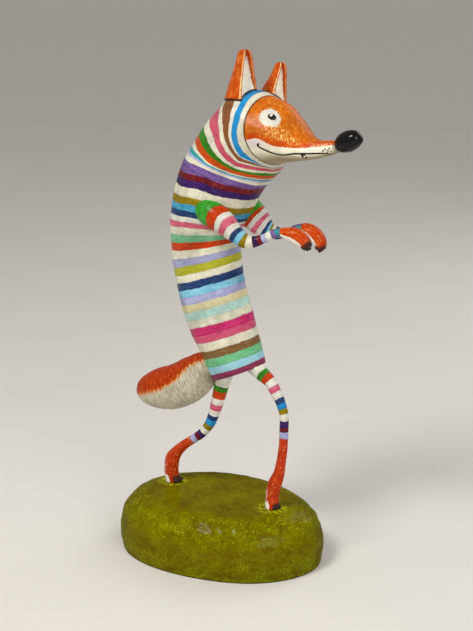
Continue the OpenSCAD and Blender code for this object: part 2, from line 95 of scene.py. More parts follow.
# ---- limb rows: x, y, z, radius across, radius fore and aft
RIGHT_LEG = [
    (-4, -29.5, 112.2, 6.2, 6.2), (-5, -35.5, 108.5, 5.8, 5.8), (-6, -43.5, 103, 4.9, 4.9),
    (-6.5, -49.5, 94, 4.3, 4.3), (-7, -53.5, 86.5, 3.8, 3.8), (-7, -56, 77, 3.6, 3.6),
    (-7, -56, 64, 3.5, 3.5), (-7, -55.3, 50, 3.5, 3.6), (-7, -53.6, 38, 3.6, 3.9),
    (-7, -52, 29, 4, 4.6),
]
RIGHT_FOOT = [
    (-7, -49, 21, 4.6, 5.6), (-7, -46.8, 13, 5, 5.5), (-7, -46.4, 6, 5.3, 5.3),
    (-7, -46, 0, 5.6, 4.9),
]
LEFT_LEG = [
    (5, 1.5, 99.6, 7, 7), (5.2, 4.2, 90, 6, 6), (5.5, 7.5, 77, 5.2, 5.2), (6, 11, 66, 4.6, 4.6),
    (6.3, 15.5, 55.5, 4.2, 4.2), (6.5, 22, 47, 3.8, 3.8), (7, 30, 40.5, 3.6, 3.6),
    (7.5, 38, 34.5, 3.8, 3.8), (8, 45.5, 27.5, 4.2, 4.6),
]
LEFT_FOOT = [
    (8, 50.6, 20, 4.8, 6), (8, 52.2, 12, 5.2, 6.1), (8, 51.8, 5.5, 5.5, 6), (8, 51, 0, 5.8, 6.2),
]
RIGHT_ARM = [
    (-19, 6, 237, 8, 8), (-24, -1, 235.5, 10.2, 10.2), (-26, -9, 231.5, 9.9, 9.9),
    (-25.5, -15.5, 227, 8.8, 8.8), (-24, -22, 220.7, 6.8, 6.8), (-22, -28, 215.8, 5.8, 5.8),
    (-20.5, -33, 214.4, 4.8, 4.8), (-19, -38.5, 215.4, 3.9, 3.9), (-18, -44, 217.8, 3.4, 3.4),
    (-16.5, -50, 221, 3.4, 3.4), (-15.5, -56, 222.6, 3.5, 3.5),
]
LEFT_ARM = [
    (5.5, -0.4, 236.6, 8.5, 8.5), (10, -7.8, 235.6, 11, 11), (12, -15.8, 231, 11.2, 11.2),
    (11.5, -22.6, 225.4, 10.4, 10.4), (11, -28.4, 220.4, 8.8, 8.8), (11.4, -33.4, 217.2, 7, 7),
    (12.6, -38.4, 215.8, 5.5, 5.5), (14, -44, 215.6, 3.9, 3.9), (14.8, -49.1, 217.1, 3.4, 3.4),
    (15.1, -54.5, 219.6, 3.4, 3.4), (15, -60, 221, 3.5, 3.5),
]
RIGHT_PAW = [
    (-15, -60.5, 222.4, 5.2, 4.5), (-14.5, -67, 221.2, 6.2, 5.9), (-14, -72.7, 217.8, 5.8, 5.6),
    (-14, -76.6, 213.6, 4.4, 3.8),
]
LEFT_PAW = [
    (14.6, -64.5, 220.4, 5.2, 4.6), (14.3, -70, 217.2, 6.2, 5.6), (14, -74.4, 212, 5.8, 5.3),
    (14, -75.4, 207, 4.4, 4),
]
TAIL = [
    (0, 8.5, 107.8, 8, 9.2), (0, 16.5, 104.4, 11.5, 13.4), (0, 23.5, 98, 13.8, 16.4),
    (0, 32.5, 90.6, 15.6, 17.8), (0, 42.5, 85.2, 16, 18), (0, 54, 81.8, 15.4, 17.2),
    (0, 64.5, 79.2, 12.8, 14.2), (0, 72.5, 77, 8.8, 9.6), (0, 77, 75.4, 3.6, 3.8),
]

# ---- ears: share of the height, half width of the opening, depth, back, out. Each ear has
# its place, its height and its size, which scales the widths and depths
EAR = [
    (0, 8.8, 23, 0, 0), (0.26, 7.9, 18.4, 0, 0.5), (0.5, 6.6, 14.4, -0.4, 1.2),
    (0.72, 5.3, 11.4, -0.9, 1.8), (0.9, 4, 9.8, -1.2, 2.2), (0.98, 2.8, 7, -0.6, 2.3),
    (1, 1.8, 4, 0, 2.3),
]
EARS = {"right": ((-10, -31, 313), 41, 1), "left": ((16.5, -39, 309), 34.5, 0.85)}

# ---- mound: share of the full size, share of the height
MOUND = [
    (0.975, 0), (0.99, 0.14), (1, 0.34), (0.98, 0.57), (0.93, 0.75), (0.85, 0.89),
    (0.76, 0.97), (0.66, 1),
]
MOUND_LEN = 173
MOUND_WID = 124

NOSE_AT = (0, -114.6, 294)
NOSE_LEN = 22
NOSE_R = 7.6
NOSE_TILT = 22
EYE_AT = (14.1, -56.4, 306.7)
EYE_LONG = 3.2
EYE_TALL = 2.3
TOOTH_AT = (-10, -83.4, 282.4)

# ---- paint: each colour is a pair, the full stroke and the thin or dry one
PAINT = {
    "cream": ((226, 223, 202), (208, 204, 180)),
    "white": ((232, 231, 220), (212, 208, 194)),
    "warm": ((229, 222, 184), (211, 196, 150)),
    "maroon": ((122, 22, 34), (86, 14, 22)),
    "indigo": ((66, 30, 104), (44, 20, 78)),
    "olive": ((158, 134, 4), (122, 104, 2)),
    "light_blue": ((84, 172, 196), (38, 128, 176)),
    "navy": ((38, 70, 122), (20, 46, 88)),
    "pink": ((216, 112, 134), (196, 74, 104)),
    "mint": ((96, 168, 116), (128, 186, 146)),
    "orange_red": ((206, 66, 6), (176, 48, 2)),
    "lavender": ((144, 148, 190), (168, 170, 196)),
    "olive_yellow": ((156, 154, 18), (182, 182, 58)),
    "sky": ((96, 178, 214), (150, 206, 224)),
    "lilac": ((152, 154, 204), (182, 186, 216)),
    "aqua": ((170, 216, 206), (196, 224, 212)),
    "magenta": ((204, 54, 118), (184, 30, 92)),
    "rose": ((208, 94, 126), (188, 62, 98)),
    "brown": ((138, 104, 62), (112, 80, 44)),
    "meadow": ((92, 174, 118), (122, 188, 142)),
    "pale_blue": ((140, 196, 212), (160, 206, 218)),
    "plum": ((150, 54, 92), (120, 42, 72)),
    "blue": ((38, 150, 212), (22, 122, 186)),
    "umber": ((146, 92, 50), (118, 68, 32)),
    "crimson": ((186, 52, 84), (206, 104, 118)),
    "green": ((58, 140, 28), (40, 104, 12)),
    "orange": ((206, 84, 4), (182, 62, 0)),
    "teal": ((50, 164, 166), (34, 140, 146)),
    "violet": ((124, 96, 160), (96, 66, 130)),
    "leaf": ((72, 176, 56), (36, 122, 20)),
    "purple": ((66, 34, 96), (40, 18, 62)),
    "shank": ((204, 70, 14), (182, 46, 6)),
}
# Fur: the strokes of each coat, from deep to light
FUR = {
    "face": [(176, 82, 4), (192, 92, 6), (206, 112, 18), (222, 148, 60)],
    "ear": [(178, 56, 2), (192, 70, 4), (206, 94, 16), (228, 148, 76)],
    "tail": [(138, 34, 0), (158, 46, 0), (176, 56, 2), (204, 96, 20)],
    "paw": [(168, 40, 0), (188, 56, 2), (204, 76, 8), (222, 124, 44)],
    "foot": [(158, 34, 2), (176, 44, 4), (192, 60, 8), (210, 98, 36)],
}
# Widths in mm along the back, from the hood down to the hem
JUMPER_STRIPES = [
    ("violet", 0.6), ("maroon", 5.3), ("indigo", 6), ("cream", 8.1), ("olive", 5.9),
    ("light_blue", 6.6), ("navy", 6), ("white", 5.9), ("pink", 5.6), ("cream", 8), ("mint", 7.6),
    ("orange_red", 7.9), ("cream", 7.4), ("lavender", 6.6), ("olive_yellow", 6.9), ("cream", 6),
    ("navy", 5.9), ("sky", 6.2), ("lilac", 6), ("warm", 5.6), ("aqua", 6.5), ("cream", 6.4),
    ("magenta", 6.8), ("rose", 6.6), ("cream", 7.4), ("brown", 6.2), ("meadow", 7),
    ("pale_blue", 6.3), ("plum", 5.2),
]
# The hood's stripes crowd together at the throat: where each one ends, in mm from the
# face, at those degrees round from the throat
HOOD_ANGLES = (25, 40, 65, 80, 100, 110, 125, 140)
HOOD_STRIPES = [
    ("cream", (33, 30, 28, 20, 10.5, 6.5, 5.5, 5.5)),
    ("blue", (36, 38, 48, 36, 21, 16.5, 12.5, 11.5)),
    ("white", (38, 40, 49.5, 43, 28, 22.5, 19, 19)),
    ("umber", (42, 48, 58, 50, 39.5, 34, 32.5, 33)),
    ("cream", (47, 52.5, 61, 58, 49, 42.5, 39.5, 37.5)),
    ("crimson", (58, 62.5, 69.5, 67, 60, 55, 53.5, 52.5)),
    ("cream", (64, 69, 73.5, 72, 67.5, 64.5, 62, 61.5)),
    ("green", (72, 74, 77.5, 76, 74.5, 72.5, 70.5, 69.5)),
    ("orange", (81, 80.8, 82.3, 82.5, 81.5, 79.5, 77.5, 76)),
    ("cream", (82.5, 82, 83.3, 83.4, 83, 81.5, 80.5, 80.5)),
    ("teal", (84, 84, 84.5, 84.6, 84.3, 84, 84, 84)),
    ("lilac", (86, 85.5, 86, 86, 85.5, 85.5, 85.5, 86.5)),
    ("cream", (90, 89, 88.3, 88, 88, 88.5, 90, 91)),
    ("violet", (95, 95, 95, 95, 95, 95, 95, 95)),
]
SLEEVE_COLOURS = [
    "leaf", "orange_red", "white", "pink", "white", "navy", "sky", "olive", "cream", "purple",
    "maroon", "lilac", "white", "violet", "teal",
]
RIGHT_SLEEVE_ENDS = (14, 20, 23.5, 28.7, 33.2, 37, 41.3, 45.7, 51, 55, 58.6, 62, 66.5, 69.5)
LEFT_SLEEVE_ENDS = (24, 26.4, 30.2, 33.6, 37.2, 39.8, 41.8, 43.6, 46.8, 50, 53.2, 57, 61, 65)
LEG_COLOURS = [
    "white", "green", "orange_red", "white", "pink", "white", "navy", "blue", "olive", "white",
    "indigo", "maroon", "lilac", "shank",
]
RIGHT_LEG_ENDS = (7.5, 12, 16.2, 20.8, 25.8, 31.2, 35.3, 39.3, 43.4, 49, 54, 57.8, 62.7)
LEFT_LEG_ENDS = (8.9, 13.7, 20.1, 25.6, 30.8, 36.3, 40.4, 45.5, 50, 55.2, 59.2, 63, 68)


# ---- shapes in millimetres
def smooth_step(value, low, high):
    t = np.clip((np.asarray(value, float) - low) / (high - low), 0, 1)
    return t * t * (3 - 2 * t)


def spline(rows, per):
    """The rows with smooth ones put in between, per to each interval."""
    rows = np.array(rows, float)
    out = []
    for i in range(len(rows) - 1):
        a, b, c, d = rows[max(i - 1, 0)], rows[i], rows[i + 1], rows[min(i + 2, len(rows) - 1)]
        for t in np.arange(per) / per:
            out.append(0.5 * (2 * b + (c - a) * t + (2 * a - 5 * b + 4 * c - d) * t * t
                              + (3 * b - a - 3 * c + d) * t ** 3))
    return np.array(out + [rows[-1]])


def even_rows(rows, length_columns, step):
    """Smooth rows a step apart along the line in length_columns, and how far along each is."""
    dense = spline(rows, 24)
    line = dense[:, length_columns]
    run = np.concatenate([[0], np.cumsum(np.linalg.norm(np.diff(line, axis=0), axis=1))])
    count = 4 * max(1, round(run[-1] / step / 4)) + 1
    along = np.linspace(0, run[-1], count)
    even = np.stack([np.interp(along, run, dense[:, k]) for k in range(dense.shape[1])], 1)
    return even, along


def turned(points, degrees):
    """Points turned about the upright line through the neck, towards the fox's right."""
    c, s = np.cos(np.radians(degrees)), np.sin(np.radians(degrees))
    points = np.asarray(points, float)
    x, y = points[..., 0], points[..., 1] - NECK_Y
    return np.stack([x * c + y * s, NECK_Y - x * s + y * c, points[..., 2]], -1)


def on_head(points):
    return turned(points, HEAD_TURN)


def body_grid(rows, angles):
    """Points round each row of a torso, hood or face: angle 0 is the back, 180 the front."""
    c, s = np.cos(angles), np.sin(angles)
    out = []
    for back_y, back_z, front_y, front_z, width, sweep, turn, egg in rows:
        back, front = np.array([back_y, back_z]), np.array([front_y, front_z])
        half = (back - front) / 2
        across = np.array([half[1], -half[0]]) / np.linalg.norm(half)
        yz = (back + front) / 2 + half * c[:, None] + across * sweep * (s ** 2)[:, None]
        x = width * s * (1 - egg * c)
        out.append(turned(np.column_stack([x, yz]), turn))
    return np.array(out)


def limb_grid(rows, angles):
    """Points round a limb's line: angle 0 is the fox's left side of it."""
    centre = rows[:, :3]
    along = np.gradient(centre, axis=0)
    along /= np.linalg.norm(along, axis=1)[:, None]
    side = np.array([1, 0, 0]) - along * along[:, :1]
    side /= np.linalg.norm(side, axis=1)[:, None]
    over = np.cross(side, along)
    c, s = np.cos(angles)[None, :, None], np.sin(angles)[None, :, None]
    return (centre[:, None] + side[:, None] * rows[:, 3, None, None] * c
            + over[:, None] * rows[:, 4, None, None] * s)


def ring_angles(count):
    return np.arange(count) * RING / count


def ellipse(angles, centre, across, up):
    """Points round an ellipse, from its middle and its two half axes."""
    return centre + np.outer(np.cos(angles), across) + np.outer(np.sin(angles), up)


def ring_reach(grid):
    """Distance of each point from the middle of its ring."""
    return np.linalg.norm(grid - grid.mean(axis=1, keepdims=True), axis=-1)


def grid_normals(grid):
    """Outward normals of a grid of rings."""
    round_way = np.roll(grid, -1, axis=1) - np.roll(grid, 1, axis=1)
    along = np.gradient(grid, axis=0)
    normal = np.cross(round_way, along)
    normal /= np.linalg.norm(normal, axis=2)[..., None] + 1e-9
    outward = (normal * (grid - grid.mean(axis=1, keepdims=True))).sum(2).mean()
    return normal if outward > 0 else -normal


def raised(grid, height):
    """The grid with each point moved out by its height in mm."""
    return grid + grid_normals(grid) * height[..., None]


def paint_space(grid, along):
    """Coordinates for brush strokes: round the ring, and along it."""
    reach = ring_reach(grid).mean(axis=1)
    angles = ring_angles(grid.shape[1])
    out = np.zeros(grid.shape)
    out[..., 0] = reach[:, None] * np.cos(angles)
    out[..., 1] = reach[:, None] * np.sin(angles)
    out[..., 2] = along[:, None]
    return out


def each(function, points):
    """A function of a Vector at every point of a grid."""
    flat = points.reshape(-1, 3)
    return np.array([function(Vector(p)) for p in flat]).reshape(points.shape[:-1])


def pasted(place, wide, tall):
    """Height of torn strips pasted over each other, wide across and tall along."""
    (near, far, *_), (cell, *_) = noise.voronoi(
        Vector((place.x / wide, place.y / wide, place.z / tall)))
    return noise.cell(cell * 7.3) * min((far - near) / 0.16, 1)


def crumple(place, size):
    """Sharp creases between flat facets, from 0 in a crease to about 1."""
    return abs(noise.noise(place / size)) + 0.5 * abs(noise.noise(place / size * 2.1))


def paper_relief(grid, strokes, amount=1.0, wide=13, tall=34):
    """Dents, facets, creases and pasted strips of papier-mache, in mm."""
    lumps = each(lambda p: noise.noise(p / 24) * 0.6 + noise.noise(p / 9) * 0.25, grid)
    strips = each(lambda p: pasted(p, wide, tall) * 0.25, strokes)
    facets = each(lambda p: crumple(Vector((p.x, p.y, p.z * 0.45)), wide * 1.3) * 0.9 - 0.35,
                  strokes)
    creases = each(lambda p: crumple(p, 9) * 0.3 - 0.12, grid)
    return (lumps + strips + facets + creases) * amount


# ---- meshes
def place(points):
    """Fox millimetres to the frame's metres."""
    return (np.asarray(points, float) + [0, -FORWARD, MOUND_TOP]) * MM


def add_object(name, data):
    """A new object in the scene."""
    new = bpy.data.objects.new(name, data)
    bpy.context.scene.collection.objects.link(new)
    return new


def add_piece(name, vertices, faces, attributes, material):
    """Makes a mesh object in metres with its attributes, which rides on the one body."""
    mesh = bpy.data.meshes.new(name)
    mesh.from_pydata([tuple(v) for v in vertices], [], faces)
    for key, values in attributes.items():
        values = np.asarray(values, np.float32)
        kind = "FLOAT_VECTOR" if values.ndim == 2 else "FLOAT"
        data = mesh.attributes.new(key, kind, "POINT").data
        data.foreach_set("vector" if kind == "FLOAT_VECTOR" else "value", values.ravel())
    edit = bmesh.new()
    edit.from_mesh(mesh)
    bmesh.ops.recalc_face_normals(edit, faces=edit.faces)
    edit.to_mesh(mesh)
    edit.free()
    mesh.polygons.foreach_set("use_smooth", [True] * len(mesh.polygons))
    mesh.materials.append(material)
    piece = add_object(name, mesh)
    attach(piece, "root")
    return piece


def wall_faces(rows, columns, first=0):
    """Quads between neighbouring rings of a grid."""
    faces = []
    for r in range(rows - 1):
        for c in range(columns):
            d = (c + 1) % columns
            a = first + r * columns
            faces.append((a + c, a + d, a + columns + d, a + columns + c))
    return faces


def lid_faces(ring, centre):
    """A fan of triangles from a ring's points to the point in its middle."""
    return [(ring[i], ring[(i + 1) % len(ring)], centre) for i in range(len(ring))]


def flat_rows(values):
    """A grid's values as one row."""
    return values.reshape((-1,) + values.shape[2:])


def with_ends(values):
    """A grid's values as one row, and then the means of its first and its last ring."""
    return np.concatenate([flat_rows(values), [values[0].mean(axis=0), values[-1].mean(axis=0)]])


def loft_faces(rows, columns, first=0):
    """Faces of a solid through a grid's rings, closed by a fan at each end."""
    end = first + rows * columns
    return (wall_faces(rows, columns, first) + lid_faces(range(first, first + columns), end)
            + lid_faces(range(end - columns, end), end + 1))


def closed_loft(name, grid, attributes, material):
    """A solid through the grid's rings, closed by a fan at each end."""
    spread = {key: with_ends(values) for key, values in attributes.items()}
    return add_piece(name, place(with_ends(grid)), loft_faces(*grid.shape[:2]), spread, material)


def shell_loft(name, grid, thickness, attributes, material, closed_end=False):
    """A skin of some thickness, open at its first ring and, unless closed_end, at its last.
    The hidden inner wall has a quarter of the outer one's rings and points."""
    rows, columns = grid.shape[:2]
    inner = (grid - grid_normals(grid) * thickness)[::4, ::4]
    if closed_end:
        inner = inner[:-1]
    inner_rows, inner_columns = inner.shape[:2]
    first = rows * columns
    last = first + inner_rows * inner_columns
    faces = wall_faces(rows, columns) + wall_faces(inner_rows, inner_columns, first)
    rims = [(0, first)]
    if closed_end:
        faces += lid_faces(range(first - columns, first), last)
        faces += lid_faces(range(last - inner_columns, last), last + 1)
    else:
        rims.append((first - columns, last - inner_columns))
    for outer_at, inner_at in rims:
        for c in range(inner_columns):
            outer = [outer_at + (4 * c + k) % columns for k in range(5)]
            faces.append(tuple(outer + [inner_at + (c + 1) % inner_columns, inner_at + c]))

    def both_walls(outside, inside):
        ends = [[outside[-1].mean(axis=0), inside[-1].mean(axis=0)]] if closed_end else []
        return np.concatenate([flat_rows(outside), flat_rows(inside)] + ends)

    spread = {key: both_walls(values, values[::4, ::4][:inner_rows])
              for key, values in attributes.items()}
    return add_piece(name, place(both_walls(grid, inner)), faces, spread, material)


# ---- materials
def linear(colour):
    """An 8-bit colour as linear light, with alpha."""
    return tuple(v / 255 / 12.92 if v < 11 else ((v / 255 + 0.055) / 1.055) ** 2.4
                 for v in colour) + (1,)


class Value:
    """What a node of a material puts out. Sums, differences and products add a node each."""

    def __init__(self, shader, socket):
        self.shader = shader
        self.socket = socket

    def __add__(self, other):
        return self.shader.math("ADD", self, other)

    def __sub__(self, other):
        return self.shader.math("SUBTRACT", self, other)

    def __rsub__(self, other):
        return self.shader.math("SUBTRACT", other, self)

    def __mul__(self, other):
        return self.shader.math("MULTIPLY", self, other)


class Shader:
    """A material's nodes, added one call at a time. The calls take Values or numbers, and each
    gives back a Value."""

    def __init__(self, name):
        self.material = bpy.data.materials.new(name)
        self.material.use_nodes = True
        self.tree = self.material.node_tree
        self.bsdf = self.tree.nodes["Principled BSDF"]

    def node(self, kind, inputs, **settings):
        new = self.tree.nodes.new(kind)
        for key, value in settings.items():
            setattr(new, key, value)
        for key, value in inputs.items():
            self.plug(value, new.inputs[key])
        return new

    def add(self, kind, output, inputs, **settings):
        """A new node's output."""
        return Value(self, self.node(kind, inputs, **settings).outputs[output])

    def plug(self, value, socket):
        if isinstance(value, Value):
            self.tree.links.new(value.socket, socket)
        else:
            socket.default_value = value

    def math(self, operation, a, b=0.0, clamp=False):
        return self.add("ShaderNodeMath", 0, {0: a, 1: b}, operation=operation, use_clamp=clamp)

    def attribute(self, name):
        return self.add("ShaderNodeAttribute", "Fac", {}, attribute_name=name)

    def vector(self, name):
        return self.add("ShaderNodeAttribute", "Vector", {}, attribute_name=name)

    def place(self):
        """Object coordinates in millimetres."""
        at = self.add("ShaderNodeTexCoord", "Object", {})
        return self.scaled(at, (1 / MM, 1 / MM, 1 / MM))

    def scaled(self, vector, scale):
        return self.add("ShaderNodeVectorMath", 0, {0: vector, 1: scale}, operation="MULTIPLY")

    def noise(self, vector, scale, detail=2.0, roughness=0.5, distortion=0.0):
        """Noise from 0 to 1. The scale is one number, or three for the axes."""
        if isinstance(scale, tuple):
            vector, scale = self.scaled(vector, scale), 1.0
        return self.add("ShaderNodeTexNoise", "Fac", {
            "Vector": vector, "Scale": scale, "Detail": detail, "Roughness": roughness,
            "Distortion": distortion})

    def step(self, value, low, high):
        """0 below low to 1 above high, smoothly. low may be the larger."""
        out = self.add("ShaderNodeMapRange", "Result", {
            "Value": value, "From Min": min(low, high), "From Max": max(low, high)},
            interpolation_type="SMOOTHSTEP")
        return 1.0 - out if low > high else out

    def ramp(self, value, colours, constant=False):
        """Colours over 0 to 1: an even blend, or equal steps when constant."""
        new = self.node("ShaderNodeValToRGB", {"Fac": value})
        stops = new.color_ramp.elements
        new.color_ramp.interpolation = "CONSTANT" if constant else "LINEAR"
        while len(stops) > 1:
            stops.remove(stops[-1])
        share = len(colours) if constant else len(colours) - 1
        for i, colour in enumerate(colours):
            stop = stops[0] if i == 0 else stops.new(i / share)
            stop.position = i / share
            stop.color = linear(colour)
        return Value(self, new.outputs["Color"])

    def mix(self, factor, a, b, blend="MIX"):
        """Colour a, with colour b mixed in by a factor."""
        a, b = (linear(c) if isinstance(c, tuple) else c for c in (a, b))
        return self.add("ShaderNodeMix", 2, {0: factor, 6: a, 7: b}, data_type="RGBA",
                        blend_type=blend)

    def darken(self, colour, amount):
        """A colour times an amount, which is a Value near 1."""
        grey = self.add("ShaderNodeCombineColor", "Color", {
            "Red": amount, "Green": amount, "Blue": amount})
        return self.mix(1.0, colour, grey, "MULTIPLY")

    def spread(self, value, low, high):
        """A 0 to 1 value stretched to run from low to high."""
        return value * (high - low) + low

    def finish(self, colour, roughness, height=None, depth=0.25, coat=0.0, coat_roughness=0.15,
               metallic=0.0, specular=0.5):
        """Plugs in the colour, roughness and a bump of depth mm."""
        self.plug(colour, self.bsdf.inputs["Base Color"])
        self.plug(roughness, self.bsdf.inputs["Roughness"])
        self.bsdf.inputs["Metallic"].default_value = metallic
        self.bsdf.inputs["Specular IOR Level"].default_value = specular
        self.bsdf.inputs["Coat Weight"].default_value = coat
        self.bsdf.inputs["Coat Roughness"].default_value = coat_roughness
        if height is not None:
            bump = self.add("ShaderNodeBump", 0, {"Height": height, "Distance": depth * MM,
                                                  "Strength": 1.0})
            self.plug(bump, self.bsdf.inputs["Normal"])
        return self.material


def varnished(s, colour, streaks, depth=0.16, deepest_shade=0.66, coat=0.14, specular=0.06):
    """The common finish: painted shade in the dents and creases, fine paper grain and a varnish
    coat.
    """
    at = s.place()
    tone = s.spread(s.noise(at, 0.07, 3.0), 0.88, 1.1)
    tone *= s.spread(s.noise(at, 0.4, 4.0, 0.75), 0.78, 1.22)
    # Painted shade: darker in the dents and creases, where the paper relief is low.
    crease_shade = s.spread(s.step(s.attribute("relief"), -0.9, 0.3), deepest_shade, 1.04)
    height = streaks * 0.5 + s.noise(at, 1.6, 4.0, 0.6) * 0.7
    rough = s.spread(s.noise(at, 0.3, 3.0), 0.3, 0.52)
    return s.finish(s.darken(colour, tone * crease_shade), rough, height, depth, coat, 0.12,
                    specular=specular)


def striped_material(name, colours, shank=False):
    """Hand-painted stripes: the stripe attribute counts them, and its fraction runs across
    one. The last stripe of a leg is the fox's own orange shank, with cream flecks."""
    s = Shader(name)
    strokes = s.vector("strokes")
    wave = s.noise(strokes, 0.11) - 0.5
    ragged = s.noise(strokes, (0.5, 0.5, 1.6), 3.0) - 0.5
    stripe = s.attribute("stripe") + (wave * 0.3 + ragged * 0.16)
    share = s.math("DIVIDE", stripe, len(colours), clamp=True)
    full = s.ramp(share, [PAINT[c][0] for c in colours], constant=True)
    thin = s.ramp(share, [PAINT[c][1] for c in colours], constant=True)
    streaks = s.step(s.noise(strokes, (0.14, 0.14, 1.2), 5.0, 0.6), 0.33, 0.67)
    patches = s.step(s.noise(strokes, (0.11, 0.11, 0.5), 4.0, 0.7), 0.4, 0.6)
    colour = s.mix((streaks + patches) * 0.5, full, thin)
    across = s.math("FRACT", stripe)
    edge = s.math("MINIMUM", across, 1.0 - across)
    colour = s.darken(colour, s.spread(s.step(edge, 0.0, 0.09), 0.84, 1.0))
    dry = s.step(s.noise(strokes, (0.35, 0.35, 2.6), 4.0, 0.7), 0.6, 0.72)
    colour = s.mix(dry * 0.42, colour, (226, 222, 204))
    wet = s.step(s.noise(strokes, (0.3, 0.3, 1.3), 5.0, 0.75), 0.34, 0.5)
    colour = s.darken(colour, s.spread(wet, 0.8, 1.0))
    if shank:
        fleck = s.step(s.noise(strokes, (0.9, 0.9, 0.25)), 0.63, 0.71)
        here = s.step(stripe, len(colours) - 1.0, len(colours) - 0.98)
        colour = s.mix(fleck * here * 0.75, colour, (238, 196, 130))
    return varnished(s, colour, streaks)


def fur_orange(s, strokes, coat, scale):
    """Dabbed orange fur: deep, middle and light strokes laid along the hairs."""
    long = s.noise(strokes, scale, 4.0, 0.62)
    fine = s.noise(strokes, tuple(v * 3.1 for v in scale), 3.0, 0.6)
    blend = long * 0.6 + fine * 0.4
    return s.ramp(s.step(blend, 0.3, 0.7), FUR[coat]), blend


def face_material():
    """Orange mask with deeper orange along the lip, a few dabs on the cheek, cream jaw and
    lip with painted shade under the jaw, ragged white eye patch, and the mouth, dots and
    outline in thin dark paint."""
    s = Shader("painted_face")
    at, strokes = s.place(), s.vector("strokes")
    colour, blend = fur_orange(s, strokes, "face", (0.42, 0.42, 0.3))
    deep = s.step(s.noise(strokes, (0.5, 0.5, 0.2), 4.0, 0.65), 0.34, 0.56)
    colour = s.mix(deep * s.attribute("deep"), colour, (194, 62, 6))
    light = s.step(s.noise(strokes, (1.1, 1.1, 0.5), 3.0), 0.42, 0.56)
    colour = s.mix(light * s.attribute("muzzle") * 0.8, colour, (236, 184, 146))
    dab = s.step(s.noise(strokes, (0.45, 0.45, 0.95)), 0.52, 0.59)
    colour = s.mix(dab * s.attribute("cheek") * 0.8, colour, (246, 206, 122))
    shade = s.noise(strokes, (0.2, 0.2, 0.08), 3.0)
    jaw = s.ramp(shade, [(206, 200, 168), (232, 227, 204), (244, 240, 226)])
    # Painted shade: the jaw's cream turns dull olive on its underside, under the chin.
    jaw = s.mix(s.attribute("under") * 0.92, jaw, (142, 122, 84))
    jaw = s.mix(s.attribute("lilac") * 0.7, jaw, (206, 178, 198))
    ragged = (s.noise(at, 0.9, 3.0, 0.7) - 0.5) * 3.2
    colour = s.mix(s.step(s.attribute("lip") + ragged, 0.3, -0.3), colour, jaw)
    frayed = s.noise(at, 0.6, 4.0, 0.8) - 0.5
    eye = s.step(s.attribute("eye_patch") + frayed * 1.1, 1.06, 0.96)
    colour = s.mix(eye, colour, (214, 212, 198))
    rim = s.step(s.attribute("rim") + ragged * 0.12, 1.25, 0.75)
    colour = s.mix(rim, colour, (104, 46, 16))
    line = s.step(s.attribute("line") + ragged * 0.08, 0.84, 0.58)
    colour = s.mix(line, colour, (40, 20, 12))
    colour = s.mix(s.step(s.attribute("dots"), 0.8, 0.56), colour, (22, 16, 14))
    return varnished(s, colour, blend)


def ear_material():
    """Orange outside with a painted highlight along its crease, and a cream hollow that is
    duller in strokes and towards the tip. A dark line runs round the ear's foot."""
    s = Shader("painted_ear")
    strokes, side, up = s.vector("strokes"), s.attribute("inside"), s.attribute("up")
    colour, blend = fur_orange(s, strokes, "ear", (0.7, 0.7, 0.14))
    # Painted highlight along the crease: light cream dashes on its ridge.
    crease = s.step(side, -0.32, -0.2) * s.step(side, 0.04, -0.06)
    light = s.step(s.noise(strokes, (0.9, 0.9, 0.2), 3.0), 0.24, 0.5)
    colour = s.mix(crease * light, colour, (250, 204, 144))
    dull = s.step(s.noise(strokes, (1.6, 1.6, 0.12), 3.0), 0.45, 0.7)
    dull = s.math("MAXIMUM", dull * 0.4, s.step(up, 0.55, 0.8) * 0.8)
    hollow = s.mix(dull, (255, 255, 240), (228, 214, 208))
    ragged = (s.noise(strokes, 0.8, 3.0) - 0.5) * 0.35
    closing = s.math("POWER", up, 2.0) * 0.45
    inside = s.step(side + ragged - closing, 0.42, 0.52)
    tip = s.step(up + ragged * 0.3, 0.9, 0.8)
    colour = s.mix(inside * tip, colour, hollow)
    foot = s.step(up + ragged * 0.05, 0.05, 0.025)
    return varnished(s, s.mix(foot, colour, (60, 36, 24)), blend)


def tail_material():
    """Orange above and brushed cream below, meeting in jagged hairs that hang down and back.
    The cream is painted dull as shade, and painted shade darkens it further near the root.
    """
    s = Shader("painted_tail")
    hang = s.add("ShaderNodeMapping", 0, {"Vector": s.place(), "Rotation": (0.42, 0.0, 0.0)},
                 vector_type="POINT")
    colour, _ = fur_orange(s, hang, "tail", (0.35, 0.7, 0.2))
    hairs = s.noise(hang, (0.4, 0.9, 0.16), 4.0, 0.6)
    # Painted shade: the cream underneath is duller than the jumper's cream.
    cream = s.ramp(s.step(hairs, 0.25, 0.75), [
        (160, 152, 126), (190, 183, 160), (220, 215, 198)])
    jagged = (s.noise(hang, (0.4, 0.95, 0.16), 3.0, 0.6) - 0.5) * 14.0
    edge = s.attribute("fur") + jagged
    colour = s.mix(s.step(edge, 2.6, 1.0), colour, (206, 122, 34))
    colour = s.mix(s.step(edge, 1.0, -0.6), colour, cream)
    # Painted shade: dull olive under the tail, towards its root.
    colour = s.mix(s.attribute("shade") * 0.55, colour, (120, 112, 80))
    return varnished(s, colour, hairs, depth=0.2)


def limb_end_material(name, coat):
    """A paw or foot: orange fur, white underneath or behind, smoky dark at the toes."""
    s = Shader(name)
    strokes = s.vector("strokes")
    colour, blend = fur_orange(s, strokes, coat, (0.6, 0.6, 0.2))
    fleck = s.step(s.noise(strokes, (0.9, 0.9, 0.4)), 0.62, 0.7)
    colour = s.mix(fleck * 0.75, colour, (240, 186, 112))
    ragged = s.noise(strokes, (0.9, 0.9, 0.45), 3.0, 0.7) - 0.5
    white = s.step(s.attribute("white") + ragged * 1.1, 0.46, 0.54)
    colour = s.mix(white, colour, (244, 241, 230))
    smoke = s.step(s.attribute("smoke") + ragged * 0.7, 0.3, 0.8)
    return varnished(s, s.mix(smoke * 0.92, colour, (44, 34, 28)), blend)


